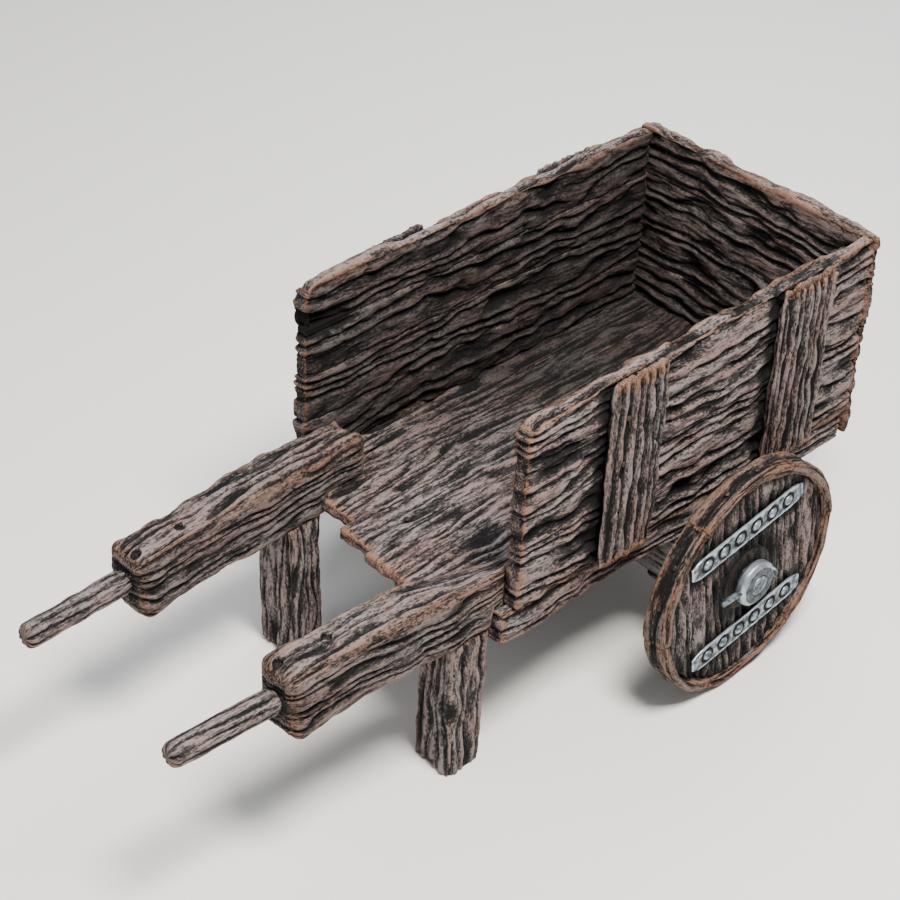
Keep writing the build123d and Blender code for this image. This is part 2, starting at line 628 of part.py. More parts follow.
for side in SIDES:
    for number, board in enumerate(wheel_boards(), start=1):
        nodes[f"{side}_wheel_board_{number}"] = placed_wheel(side, board)
    groups = {
        "wheel_felloes": felloes(),
        "felloe_nails": [felloe_nail(angle) for angle in felloe_nail_angles()],
        "wheel_straps": wheel_straps(),
        "strap_rivets": [rivet(*place) for place in rivet_places()],
        "nave": [nave()],
        "hub_bush": [hub_bush()],
    }
    for name, pieces in groups.items():
        nodes[f"{side}_{name}"] = Compound([placed_wheel(side, piece) for piece in pieces])


# ---------------------------------------------------------------- fastener nodes and export
nodes["board_nails"] = Compound(nails)
nodes["coach_screws"] = Compound(screws)
nodes["screw_washers"] = Compound([screw_washer(x, y, seat) for x, y, seat, _ in screw_places()])
nodes["oak_pegs"] = Compound(pegs)

os.makedirs("parts", exist_ok=True)
for name, shape in nodes.items():
    export_step(Pos(-MIDDLE_STATION, 0, 0) * shape, f"parts/{name}.step")
print(len(nodes), "nodes; X = 0 is at station", round(MIDDLE_STATION, 3), "; toe", round(SHAFT_TOE, 3))
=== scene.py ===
# %% [markdown]
# # A wooden hand barrow
# An open-fronted plank box on a timber frame, two stub shafts with turned grips, two legs, and two plank
# wheels strapped with iron. The fixed frame gives each piece its place and its size. Each piece is then
# modelled again with the deep weathered grain and the hammered iron that make the real thing what it is.

import json
import math

import bmesh
import bpy
import numpy as np
from mathutils import Matrix, Vector


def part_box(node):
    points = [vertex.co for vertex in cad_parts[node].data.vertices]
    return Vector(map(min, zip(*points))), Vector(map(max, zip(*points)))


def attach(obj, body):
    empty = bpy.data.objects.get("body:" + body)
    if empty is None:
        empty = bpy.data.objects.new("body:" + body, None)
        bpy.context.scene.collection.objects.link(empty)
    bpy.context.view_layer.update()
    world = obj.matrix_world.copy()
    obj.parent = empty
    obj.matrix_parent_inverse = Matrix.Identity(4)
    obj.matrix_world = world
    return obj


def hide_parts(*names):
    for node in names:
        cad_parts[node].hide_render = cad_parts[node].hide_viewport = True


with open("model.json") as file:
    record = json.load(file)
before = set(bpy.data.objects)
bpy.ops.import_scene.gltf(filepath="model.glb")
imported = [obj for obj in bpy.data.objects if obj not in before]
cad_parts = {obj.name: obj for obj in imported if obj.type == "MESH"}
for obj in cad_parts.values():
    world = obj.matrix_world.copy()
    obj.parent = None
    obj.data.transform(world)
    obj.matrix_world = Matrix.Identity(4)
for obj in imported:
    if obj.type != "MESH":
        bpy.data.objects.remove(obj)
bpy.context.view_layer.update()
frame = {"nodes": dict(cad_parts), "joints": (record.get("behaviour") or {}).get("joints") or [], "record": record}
record = frame["record"]
body_of = {node: body for body, nodes in record["behaviour"]["bodies"].items() for node in nodes}

# %% [markdown]
# ## Camera
# The barrow is seen from in front of the right-hand grip, well above it, through a long lens. A long lens
# keeps the far end of the box nearly as large as the near end. The camera is also rolled a few degrees. Its
# three axes are worked out from yaw, pitch and roll, because that is easier to read than three Euler angles.

# %% Camera
CAMERA_PLACE = Vector((-2.3484, -2.2528, 2.8550))
CAMERA_YAW = 0.7687
CAMERA_PITCH = -0.6332
CAMERA_ROLL = 0.0530
CAMERA_LENS = 90.07

ahead = Vector((
    math.cos(CAMERA_PITCH) * math.cos(CAMERA_YAW),
    math.cos(CAMERA_PITCH) * math.sin(CAMERA_YAW),
    math.sin(CAMERA_PITCH),
))
level_right = ahead.cross(Vector((0, 0, 1))).normalized()
level_up = level_right.cross(ahead)
camera_right = level_right * math.cos(CAMERA_ROLL) + level_up * math.sin(CAMERA_ROLL)
camera_up = level_up * math.cos(CAMERA_ROLL) - level_right * math.sin(CAMERA_ROLL)
camera_data = bpy.data.cameras.new("camera")
camera_data.lens = CAMERA_LENS
camera_data.sensor_width = 36.0
camera = bpy.data.objects.new("camera", camera_data)
bpy.context.scene.collection.objects.link(camera)
turn = Matrix((camera_right, camera_up, -ahead)).transposed()
camera.matrix_world = Matrix.Translation(CAMERA_PLACE) @ turn.to_4x4()
bpy.context.scene.camera = camera
print("camera", tuple(round(v, 3) for v in camera.location))

# %% [markdown]
# ## Colours and nodes
# Colours are written as sRGB hex, as a paint chart gives them. Blender's shaders work in linear light, so one
# function turns hex to linear. A second function adds a shader node with its settings and its links, which
# keeps each material short enough to read.


# %% Helpers for colour and nodes
def linear(hex_colour):
    """An sRGB hex colour as linear RGBA."""
    values = [int(hex_colour[i : i + 2], 16) / 255 for i in (1, 3, 5)]
    return [v / 12.92 if v <= 0.04045 else ((v + 0.055) / 1.055) ** 2.4 for v in values] + [1.0]


def add_node(tree, kind, links=None, **settings):
    """Adds a node. Settings that name an input socket set its value, and the others set the node's own
    properties. Links gives a source socket for each input, by name or by number."""
    node = tree.nodes.new(kind)
    inputs = settings.pop("inputs", {})
    for name, value in settings.items():
        setattr(node, name, value)
    for name, value in inputs.items():
        node.inputs[name].default_value = value
    for name, source in (links or {}).items():
        tree.links.new(source, node.inputs[name])
    return node


# %% [markdown]
# ## Floor and light
# The barrow stands on a plain pale floor, one square face much larger than the barrow, so that its edge stays
# far off. A curved backdrop would hide the edge from every side, but a plain floor keeps the light simple.

# %% Floor
FLOOR_HALF = 12.0
floor_mesh = bmesh.new()
bmesh.ops.create_grid(floor_mesh, x_segments=1, y_segments=1, size=FLOOR_HALF)
floor_data = bpy.data.meshes.new("floor")
floor_mesh.to_mesh(floor_data)
floor_mesh.free()
floor = bpy.data.objects.new("floor", floor_data)
bpy.context.scene.collection.objects.link(floor)
floor_paint = bpy.data.materials.new("matt white paper")
floor_paint.use_nodes = True
floor_shader = floor_paint.node_tree.nodes["Principled BSDF"]
floor_shader.inputs["Base Color"].default_value = linear("#ebeae7")
floor_shader.inputs["Roughness"].default_value = 0.9
floor_data.materials.append(floor_paint)
print("floor", 2 * FLOOR_HALF, "m across")

# %% [markdown]
# ## Light
# Three large soft lamps. Weathered wood reads by its grooves, so the key lamp stands high up, a little to the
# right, and its light grazes the upright boards. The other two only stop the shadows from going black. An
# area lamp is soft because it is large, so each lamp's size is set as well as its power.


# %% Lamps
def soft_lamp(name, place, target, size, power, colour):
    """A square area lamp that points at the target."""
    data = bpy.data.lights.new(name, "AREA")
    data.size = size
    data.energy = power
    data.color = linear(colour)[:3]
    lamp = bpy.data.objects.new(name, data)
    bpy.context.scene.collection.objects.link(lamp)
    away = (Vector(place) - Vector(target)).normalized()
    lamp.matrix_world = Matrix.Translation(place) @ away.to_track_quat("Z", "Y").to_matrix().to_4x4()
    print(name, power, "W")


soft_lamp("key lamp", (-0.5, -1.7, 4.4), (0.2, 0.0, 0.35), 1.2, 470.0, "#fffaf2")
soft_lamp("back lamp", (3.0, 1.4, 3.4), (0.2, 0.0, 0.4), 2.0, 130.0, "#f4f8ff")
soft_lamp("fill lamp", (-3.4, 1.0, 2.6), (0.0, 0.0, 0.3), 2.6, 35.0, "#ffffff")
room = bpy.data.worlds.new("room")
room.use_nodes = True
room.node_tree.nodes["Background"].inputs["Color"].default_value = linear("#eceef1")
room.node_tree.nodes["Background"].inputs["Strength"].default_value = 0.42
bpy.context.scene.world = room

# %% [markdown]
# ## Noise for the grain
# Grain is a pattern that is long one way and short the other, and that wanders. Smooth gradient noise gives
# the wander. It is worked out for all the points of a piece at once with numpy, so that even a hundred
# thousand points take a moment. The wrap setting makes the pattern meet itself round a turned piece.


# %% Gradient noise
def noise(u, v, seed, wrap=0):
    """Smooth noise from about -1 to 1 at the points (u, v), one lattice cell per unit."""
    column, row = np.floor(u).astype(np.int64), np.floor(v).astype(np.int64)
    fu, fv = u - column, v - row
    ease_u, ease_v = (f * f * f * (f * (f * 6 - 15) + 10) for f in (fu, fv))
    total = np.zeros_like(fu)
    for du in (0, 1):
        for dv in (0, 1):
            line = (row + dv) % wrap if wrap else row + dv
            mix = ((column + du) * 73856093) ^ (line * 19349663) ^ (seed * 83492791)
            mix = (mix ^ (mix >> 13)) * 1274126177 & 0x7FFFFFFF
            mix = (mix ^ (mix >> 16)) & 0xFFFF
            angle = mix * (2 * np.pi / 65536)
            slope = np.cos(angle) * (fu - du) + np.sin(angle) * (fv - dv)
            weight = (ease_u if du else 1 - ease_u) * (ease_v if dv else 1 - ease_v)
            total += slope * weight
    return total * 1.5


sample = noise(np.linspace(0, 50, 1000), np.full(1000, 0.5), 1)
print("noise runs from", sample.min().round(2), "to", sample.max().round(2), "in a sample")

# %% [markdown]
# ## The weathered grain
# The soft spring wood has worn away and the hard summer wood stands up in thick cords with dark clefts
# between them. It could be painted as a bump, but then the outline would stay straight, so it is cut into the
# mesh. A cord is a half sine, which gives a round back and a sharp cleft. Noise bends the cords, makes some
# of them join, and fades some clefts. Finer fibres lie on top.


# %% Cords of grain
def cords(along, across, seed, pitch, sway, wrap=0, sharp=0.6, least=0.25):
    """The relief at points on a face: 1 on the backs of the cords, towards 0 in the clefts between them."""
    lane = across / pitch
    if wrap:
        bend = 0.35 * sway * noise(along / 0.12, lane * 4 / wrap, seed, 4)
        place, strong, forked = lane, noise(along / 0.08, lane, seed + 3, wrap), 0.0
    else:
        bend = 0.55 * sway * noise(along / 0.24, lane / 3.1, seed)
        bend += 0.32 * sway * noise(along / 0.075, lane / 1.7, seed + 1)
        bend += 0.75 * sway * noise(along / 0.38, lane / 1.45, seed + 2)
        place = lane + bend
        strong = noise(along / 0.10, place / 1.1, seed + 3)
        forked = np.clip(1.4 * noise(along / 0.13, place / 0.9, seed + 6), 0, 0.6)
    cord = np.abs(np.sin(np.pi * (lane + bend))) ** sharp
    fork = np.abs(np.cos(2 * np.pi * (lane + bend))) ** 0.5
    deep = np.clip(0.74 + 0.95 * strong, least, 1.0)
    lumps = noise(along / 0.034, lane * 2, seed + 7, 2 * wrap)
    fibre = noise(along / 0.040, lane * 5, seed + 4, 5 * wrap)
    pits = np.clip(noise(along / 0.016, lane * 3, seed + 5, 3 * wrap) - 0.5, 0, 1)
    relief = 1 - deep * (1 - cord) - forked * (1 - fork) + 0.14 * lumps + 0.12 * fibre - 0.7 * pits
    return np.clip(relief, 0, 1.15)


# %% [markdown]
# ## Cutting a timber
# A timber starts as a cube, scaled to its place. Its arrises are beveled, because no old board has a sharp
# one, and its edges are then divided: coarse along the grain, fine across it, which spends the points where
# the relief needs them. Last, every point moves along its normal by the relief.


# %% Blocks, worn arrises and the ruled net
def block(low, high):
    """A bmesh box between two corners."""
    bm = bmesh.new()
    bmesh.ops.create_cube(bm, size=1.0)
    low, high = Vector(low), Vector(high)
    bmesh.ops.scale(bm, vec=high - low, verts=bm.verts)
    bmesh.ops.translate(bm, vec=(high + low) / 2, verts=bm.verts)
    return bm


def wear_arrises(bm, width, segments=2):
    """Bevels every edge where two faces meet at an angle."""
    sharp = [e for e in bm.edges if len(e.link_faces) == 2 and e.calc_face_angle() > 0.3]
    bmesh.ops.bevel(bm, geom=sharp, offset=width, offset_type="OFFSET", segments=segments, profile=0.5,
                    affect="EDGES", material=-1, clamp_overlap=True)


def rule_lines(bm, steps):
    """Divides the edges that run along each axis, so that none is longer than that axis's step."""
    for axis, step in enumerate(steps):
        groups = {}
        for edge in bm.edges:
            run = edge.verts[1].co - edge.verts[0].co
            length = run.length
            if length > 1.5 * step and abs(run[axis]) > 0.98 * length:
                groups.setdefault(round(length / step) - 1, []).append(edge)
        for cuts, edges in groups.items():
            if cuts > 0:
                bmesh.ops.subdivide_edges(bm, edges=edges, cuts=cuts, use_grid_fill=True)


# %% [markdown]
# ## Pieces and their attributes
# A finished bmesh becomes an object at the origin, with its place in its mesh. Numbers that the finish needs,
# such as how high a point stands in the relief, are kept on the mesh as attributes, because an attribute
# moves with the piece, where a pattern in space would slide over it.


# %% Pieces, points and attributes
def new_piece(name, bm):
    """Makes a smooth-shaded object from a bmesh and frees it."""
    mesh = bpy.data.meshes.new(name)
    bm.to_mesh(mesh)
    bm.free()
    mesh.shade_smooth()
    piece = bpy.data.objects.new(name, mesh)
    bpy.context.scene.collection.objects.link(piece)
    return piece


def read_points(mesh):
    """Positions and normals of a mesh's points as arrays."""
    co = np.empty(len(mesh.vertices) * 3)
    mesh.vertices.foreach_get("co", co)
    normal = np.empty(len(mesh.vertices) * 3)
    mesh.vertex_normals.foreach_get("vector", normal)
    return co.reshape(-1, 3), normal.reshape(-1, 3)


def write_points(mesh, co):
    """Moves a mesh's points to new positions."""
    mesh.vertices.foreach_set("co", co.ravel())
    mesh.update()


def store(mesh, name, values):
    """Keeps one number for each point as a mesh attribute."""
    layer = mesh.attributes.new(name, "FLOAT", "POINT")
    layer.data.foreach_set("value", np.ascontiguousarray(values, dtype=np.float32))


def store_grain(mesh, places):
    """Keeps where each point lies along and across the grain, for the finish to follow."""
    layer = mesh.attributes.new("grain", "FLOAT_VECTOR", "POINT")
    layer.data.foreach_set("vector", np.ascontiguousarray(places, dtype=np.float32).ravel())


def arris_wear(co, width, outline=None):
    """1 on the arrises of a straight timber, or of the box given, and 0 at a given distance from them."""
    low, high = (np.array(corner) for corner in outline or (co.min(0), co.max(0)))
    near = np.sort(np.abs(np.minimum(co - low, high - co)), axis=1)
    return np.clip(1 - (near[:, 0] + near[:, 1]) / width, 0, 1)


# %% [markdown]
# ## Carving a timber
# Each point knows how far it is along the grain, across it and through the thickness. Faces with and without
# grain blend by the direction of their normal, so the clefts run round the arrises and notch the outline. A
# knot pulls the places across the grain towards itself, and the cords then part round it.


# %% Knots
ORDER = {"x": (0, 1, 2), "y": (1, 0, 2), "z": (2, 0, 1)}


def bend_round_knots(knots, order, a, b, c):
    """The places across the grain, bent round each knot, and an array that is 1 in the eye of a knot. A knot
    is a place and a size."""
    places, eye = (a, b, c), np.zeros(len(a))
    for place, size in knots:
        ka, kb, kc = (place[i] for i in order)
        reach = np.exp(-(((a - ka) / (2.6 * size)) ** 2))
        b = b - 0.85 * (b - kb) * reach * np.exp(-(((b - kb) / (1.5 * size)) ** 2))
        c = c - 0.85 * (c - kc) * reach * np.exp(-(((c - kc) / (1.5 * size)) ** 2))
        away = (places[0] - ka) ** 2 / 2.5 + (places[1] - kb) ** 2 + (places[2] - kc) ** 2
        eye = np.maximum(eye, np.exp(-away / (0.55 * size) ** 2))
    return b, c, eye


# %% Carving
def carve(piece, grain, seed, pitch, depth=0.010, sway=1.0, swell=0.004, end_depth=0.012, sharp=0.6,
          least=0.25, outline=None, worn=0.018, dirt_and_shade=None, hollow=None, tight=None, knots=()):
    """Cuts weathered grain into a straight timber whose grain runs along x, y or z. The places along the
    grain that are kept for the finish are those of the moved points. Two arguments are functions of
    position and normal: the one that darkens says how much a point is darkened, by dirt and by painted
    shade, and hollow says how many metres deeper it is cut. Faces across the tight axis, unless they lie
    on the outline, meet a neighbour and are left alone."""
    mesh = piece.data
    co, normal = read_points(mesh)
    order = ORDER[grain]
    a, b, c = (co[:, i] for i in order)
    b, c, eye = bend_round_knots(knots, order, a, b, c)

    # The relief of the face across each axis, blended by how far the point faces that way.
    on_b = cords(a, c, seed, pitch, sway, sharp=sharp, least=least)
    on_c = cords(a, b, seed + 20, pitch, sway, sharp=sharp, least=least)
    strand = np.floor(c / pitch + 0.5 * noise(c / 0.05, b / 0.05, seed + 40))
    on_end = 0.55 * on_b + 0.45 * (0.5 + 0.5 * noise(strand * 0.71, b / 0.02, seed + 41))
    weights = [np.abs(normal[:, i]) ** 3 + 1e-6 for i in order]
    blend = (weights[0] * on_end + weights[1] * on_b + weights[2] * on_c) / sum(weights)
    relief = blend * (1 - 0.8 * eye)
    at_end = weights[0] / sum(weights)

    cut = depth + (end_depth - depth) * at_end
    wander = swell * (noise(a / 0.17, c / 0.12, seed + 50) + noise(a / 0.06, b / 0.05, seed + 51))
    wear = arris_wear(co, worn, outline)
    darkening = np.zeros(len(co)) if dirt_and_shade is None else dirt_and_shade(co, normal)
    sunk = np.zeros(len(co)) if hollow is None else hollow(co, normal)
    move = cut * (relief - 0.8 + 0.35 * at_end) + wander - 0.003 * wear - sunk
    if tight is not None:
        low, high = outline or (co.min(0) - 1, co.max(0) + 1)
        open_face = np.minimum(co[:, tight] - low[tight], high[tight] - co[:, tight]) < 0.004
        meets = np.clip(2.2 * np.abs(normal[:, tight]) - 1.1, 0, 1) * ~open_face
        move = move * (1 - meets) + 0.0008 * meets

    co += normal * move[:, None]
    write_points(mesh, co)
    store(mesh, "relief", relief * np.exp(-sunk / 0.008))
    store(mesh, "wear", wear * np.exp(-sunk / 0.002))
    store(mesh, "dirt_and_shade", darkening)
    store_grain(mesh, np.stack([a, b + 0.013 * seed, c], axis=1))


# %% [markdown]
# ## The timber's finish
# Old softwood with dark dirt washed into it and its high places rubbed by hands and loads. The clefts are
# nearly black, the cords are brown, their backs a dusty pink grey, and the arrises a warm tan. The finish
# reads the carved relief, so light and dark follow the real clefts, and noise stretched along the grain
# breaks it up into fibres 2 to 4 mm wide.

# %% Timber material
STREAKS = {  # length and width of each noise's cells in metres, and its detail
    "fibre": (0.030, 0.0024, 3.0),
    "speck": (0.0080, 0.0034, 4.0),
    "blotch": (0.085, 0.022, 3.0),
    "patch": (0.170, 0.065, 2.0),
}
RAMP_STOPS = (0.36, 0.58, 0.79, 1.00)


def weathered_wood(name, cleft, shade, body, back, arris, lighter):
    """Washed and rubbed timber in five colours, from the clefts to the arrises."""
    material = bpy.data.materials.new(name)
    material.use_nodes = True
    tree = material.node_tree
    shader = tree.nodes["Principled BSDF"]
    relief, wear, dirt_and_shade = (add_node(tree, "ShaderNodeAttribute", attribute_name=n).outputs["Fac"]
                           for n in ("relief", "wear", "dirt_and_shade"))
    grain = add_node(tree, "ShaderNodeAttribute", attribute_name="grain").outputs["Vector"]
    streak = {}
    for kind, (length, width, detail) in STREAKS.items():
        place = add_node(tree, "ShaderNodeMapping", {"Vector": grain},
                         inputs={"Scale": (1 / length, 1 / width, 1 / width)})
        streak[kind] = add_node(tree, "ShaderNodeTexNoise", {"Vector": place.outputs["Vector"]},
                                inputs={"Scale": 1.0, "Detail": detail, "Roughness": 0.65}).outputs["Fac"]

    # How far a point is lifted out of the dark: its relief, and a share of each noise.
    lift = relief
    for kind, share in (("fibre", 1.1), ("speck", 1.5), ("blotch", 0.9)):
        lift = add_node(tree, "ShaderNodeMath", {0: streak[kind], 2: lift}, operation="MULTIPLY_ADD",
                        inputs={1: share}).outputs[0]
    lift = add_node(tree, "ShaderNodeMath", {0: lift}, operation="ADD", inputs={1: lighter - 1.75}).outputs[0]
    ramp = add_node(tree, "ShaderNodeValToRGB", {"Fac": lift})
    stops = ramp.color_ramp.elements
    stops[0].position, stops[0].color = RAMP_STOPS[0], linear(cleft)
    stops[1].position, stops[1].color = RAMP_STOPS[3], linear(back)
    for position, colour in zip(RAMP_STOPS[1:3], (shade, body)):
        stops.new(position).color = linear(colour)
    tint = add_node(tree, "ShaderNodeMapRange", {"Value": streak["patch"]},
                    inputs={"From Min": 0.38, "From Max": 0.62, "To Min": 0.6, "To Max": 1.3})
    tinted = add_node(tree, "ShaderNodeHueSaturation",
                      {"Color": ramp.outputs["Color"], "Saturation": tint.outputs["Result"]})

    # The arrises are rubbed bare, and then dirt and painted shade darken whatever they lie on, towards near black.
    rub = wear
    for source, share in ((relief, 0.5), (streak["fibre"], 0.8), (streak["speck"], 1.6)):
        rub = add_node(tree, "ShaderNodeMath", {0: source, 2: rub}, operation="MULTIPLY_ADD",
                       inputs={1: share}).outputs[0]
    rubbed = add_node(tree, "ShaderNodeMapRange", {"Value": rub},
                      inputs={"From Min": 2.08, "From Max": 2.60, "To Min": 0.0, "To Max": 0.85})
    worn = add_node(tree, "ShaderNodeMix", data_type="RGBA", inputs={7: linear(arris)},
                    links={"Factor": rubbed.outputs["Result"], 6: tinted.outputs["Color"]})
    darkened = add_node(tree, "ShaderNodeMix", data_type="RGBA", blend_type="MULTIPLY",
                     inputs={7: linear("#161617")}, links={"Factor": dirt_and_shade, 6: worn.outputs[2]})
    tree.links.new(darkened.outputs[2], shader.inputs["Base Color"])

    dull = add_node(tree, "ShaderNodeMapRange", {"Value": lift},
                    inputs={"From Min": 0.3, "From Max": 1.0, "To Min": 0.90, "To Max": 0.58})
    tree.links.new(dull.outputs["Result"], shader.inputs["Roughness"])
    height = add_node(tree, "ShaderNodeMath", {0: streak["speck"], 2: streak["fibre"]},
                      operation="MULTIPLY_ADD", inputs={1: 1.0})
    bump = add_node(tree, "ShaderNodeBump", {"Height": height.outputs[0]},
                    inputs={"Strength": 0.8, "Distance": 0.0028})
    tree.links.new(bump.outputs["Normal"], shader.inputs["Normal"])
    shader.inputs["Specular IOR Level"].default_value = 0.28
    return material


# Softwood left outdoors: matt, black in its clefts, with dusty backs and warm rubbed arrises.
old_timber = weathered_wood("weathered softwood", "#060506", "#1f1c1d", "#4b403e", "#7e6e6c", "#84614d", -0.04)
# The same wood never rubbed or dirtied: an even dull grey.
grey_timber = weathered_wood("bare grey timber", "#141314", "#333132", "#514e4f", "#6c6869", "#736e6c", 0.08)
# Steamed ash that rolls on the ground: redder, with bright tan edges.
rim_timber = weathered_wood("steamed rim ash", "#050404", "#1b1513", "#46362f", "#6c584f", "#7e5a47", -0.03)
# Oak soaked with axle grease: nearly black all over. On the nave this near black is also painted shade round the
# hub.
dark_oak = weathered_wood("dark cleft oak", "#050404", "#0b0908", "#161110", "#241c17", "#2a2019", -0.15)
print("timber finishes:", old_timber.name, "/", rim_timber.name, "/", grey_timber.name, "/", dark_oak.name)

# %% [markdown]
# ## Handing over and cutting to a box
# Every piece stands in for one node of the frame: it rides on that node's body, hides the plain node and
# gets a material of its own. Most timbers fill their node's box, so one function blocks, eases, rules and
# carves them, and a piece differs only in the numbers that it is given.


# %% Handing a piece over
def hand_over(piece, node, material):
    """Gives a finished piece its material and its place in the barrow, in place of the plain node."""
    piece.data.materials.clear()
    piece.data.materials.append(material)
    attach(piece, body_of[node])
    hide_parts(node)


def timber(node, label, corners, arris, steps, segments=2):
    """A block between two corners with eased arrises and a ruled net, ready to be carved."""
    bm = block(*corners)
    wear_arrises(bm, arris, segments)
    rule_lines(bm, steps)
    return new_piece(f"{node}_{label}", bm)


def span(first, last):
    """The box round two nodes."""
    corners = [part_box(first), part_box(last)]
    return (Vector([min(c[0][i] for c in corners) for i in range(3)]),
            Vector([max(c[1][i] for c in corners) for i in range(3)]))


# %% [markdown]
# ## Rounded corners
# Knocks have rounded the outer corners of the boards. A corner is rounded after the carving, by drawing its
# points in to a quarter circle, which keeps the ruled net and its relief where a new bevel would replace them.


# %% Rounding a corner
def round_corner(piece, axes, corner, inward, radius):
    """Rounds one arris of a carved piece. The square beside the corner is drawn in to a quarter circle, in the
    plane of the two axes, and its relief is kept."""
    co, normal = read_points(piece.data)
    i, j = axes
    middle = corner[0] + inward[0] * radius, corner[1] + inward[1] * radius
    u, v = (co[:, i] - middle[0]) * -inward[0], (co[:, j] - middle[1]) * -inward[1]
    away = np.hypot(u, v)
    share = np.where((u > 0) & (v > 0), np.maximum(u, v) / np.maximum(away, 1e-9), 1.0)
    co[:, i] = middle[0] + (co[:, i] - middle[0]) * share
    co[:, j] = middle[1] + (co[:, j] - middle[1]) * share
    write_points(piece.data, co)


# %% [markdown]
# ## Shade and rot on the sides
# Painted shade and rot don't follow the grain, so functions of position say where they are. Painted shade
# lies beside the cleats that cross a side's outer face, in the recess where they shade the board. Rot has
# eaten a ragged pocket into the left side, near its front top corner, and noise makes its edge uneven.

# %% Beside the cleats, and the rotted pocket
SIDE = {"left": 1, "right": -1}
BOX_FRONT, BOX_BACK = (corner.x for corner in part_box("left_side_plank_1"))
ROT_LENGTH, ROT_HEIGHT = 0.13, 0.032
ROT_ABOVE_SEAM = 0.018  # its middle, above the seam under the top board


def beside_cleats(side, sign, before, after):
    """A function of position and normal: 1 on a side's outer face, just in front of and behind its cleats, where
    the board is cut deeper and gets painted shade.
    """
    cleats = [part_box(f"{side}_{place}_cleat") for place in ("front", "rear")]

    def near(co, normal):
        total = np.zeros(len(co))
        for low, high in ((cleat[0].x, cleat[1].x) for cleat in cleats):
            ahead = np.clip(1.4 - (low - co[:, 0]) / before, 0, 1) * (co[:, 0] < (low + high) / 2)
            behind = np.clip(1.4 - (co[:, 0] - high) / after, 0, 1) * (co[:, 0] >= (low + high) / 2)
            total = np.maximum(total, ahead + behind)
        return total * (sign * normal[:, 1] > 0.5)

    return near


def rotten(side, co):
    """1 inside the rotted pocket at the front of the left side, near its top, and 0 elsewhere."""
    if side == "right":
        return np.zeros(len(co))
    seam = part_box("left_side_plank_3")[1].z
    along, down = (co[:, 0] - BOX_FRONT) / ROT_LENGTH, (co[:, 2] - seam - ROT_ABOVE_SEAM) / ROT_HEIGHT
    ragged = 0.45 * noise(co[:, 0] / 0.03, co[:, 2] / 0.012, 77)
    return np.clip(1.6 * (1 - along ** 2 - (down + 0.6 * along) ** 2 + ragged), 0, 1)


print("box from", round(BOX_FRONT, 3), "to", round(BOX_BACK, 3))

# %% [markdown]
# ## Side boards
# Four boards make each side. They are cut with one seed for a whole side, so the cords run on from board to
# board as they do in boards from one log. The faces inside the box are darker and greyer: loads have
# scrubbed dirt into them, and painted shade darkens them more low down and towards the tail.

# %% Side boards
BOARD_GRAIN = {"pitch": 0.032, "depth": 0.018, "swell": 0.005, "least": 0.4, "tight": 2}
BOARD_ARRIS = 0.005
SIDE_STEPS = (0.0065, 0.0030, 0.0025)
SIDE_SEED = {"left": 11, "right": 57}
SIDE_CORNER = 0.034
for side, sign in SIDE.items():
    shadow = beside_cleats(side, sign, before=0.024, after=0.010)
    whole = span(f"{side}_side_plank_1", f"{side}_side_plank_4")

    def board_dirt_and_shade(co, normal):
        """Dirt and painted shade on the inner face, darkest low down and at the tail, painted shade beside the
        cleats, and the dark of the rotted pocket.
        """
        back = np.clip((co[:, 0] - BOX_FRONT) / (BOX_BACK - BOX_FRONT), 0, 1)
        low = np.clip((whole[1].z - co[:, 2]) / (whole[1].z - whole[0].z), 0, 1)
        inner = np.clip(-sign * normal[:, 1], 0, 1)
        # Dirt with painted shade over it: the inner face darkens low down and towards the tail.
        inner_dirt_and_shade = (0.64 + 0.26 * np.maximum(np.maximum(back * low ** 0.5, low ** 3), back ** 8)) * inner
        return np.maximum(np.maximum(inner_dirt_and_shade, 0.92 * shadow(co, normal)), 0.9 * rotten(side, co))

    def board_hollow(co, normal):
        """How much deeper the board is cut beside the cleats, and where it has rotted."""
        return 0.004 * shadow(co, normal) + 0.012 * rotten(side, co) * (sign * normal[:, 1] < 0.5)

    for number in range(1, 5):
        node = f"{side}_side_plank_{number}"
        piece = timber(node, "board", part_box(node), BOARD_ARRIS, SIDE_STEPS)
        carve(piece, "x", SIDE_SEED[side], outline=whole, worn=0.020, dirt_and_shade=board_dirt_and_shade, hollow=board_hollow,
              **BOARD_GRAIN)
        if number == 4:
            round_corner(piece, (0, 2), (BOX_FRONT, whole[1].z), (1, -1), SIDE_CORNER)
        hand_over(piece, node, old_timber)
print("side boards done")

# %% [markdown]
# ## End boards
# Four boards close the box and cover the ends of the sides. Their grain runs across the barrow, so the net is
# coarse along Y. Both of their upright outer corners are rounded, all the way up.

# %% End boards
END_STEPS = (0.0030, 0.0065, 0.0025)
END_CORNER = 0.026
whole = span("end_plank_1", "end_plank_4")


def end_dirt_and_shade(co, normal):
    """Dirt and painted shade on the inner face, darkest in the left corner and low down, where the box shades it.
    """
    left = np.clip((co[:, 1] - whole[0].y) / (whole[1].y - whole[0].y), 0, 1)
    low = np.clip((whole[1].z - co[:, 2]) / (whole[1].z - whole[0].z), 0, 1)
    return (0.52 + 0.38 * np.maximum(left ** 6, left * low)) * np.clip(-normal[:, 0], 0, 1)


for number in range(1, 5):
    node = f"end_plank_{number}"
    piece = timber(node, "board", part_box(node), BOARD_ARRIS, END_STEPS)
    carve(piece, "y", 93, outline=whole, worn=0.022, dirt_and_shade=end_dirt_and_shade, **BOARD_GRAIN)
    for corner_y, inward in ((whole[0].y, 1), (whole[1].y, -1)):
        round_corner(piece, (0, 1), (whole[1].x, corner_y), (-1, inward), END_CORNER)
    hand_over(piece, node, old_timber)
print("end boards done")

# %% [markdown]
# ## Cleats
# Two upright strips strap each side's boards together. Their cords are narrow and fairly straight, with deep
# clefts, and the right side's end in a comb of points. The left ones end lower and plainer, so that little
# of them shows over their boards.

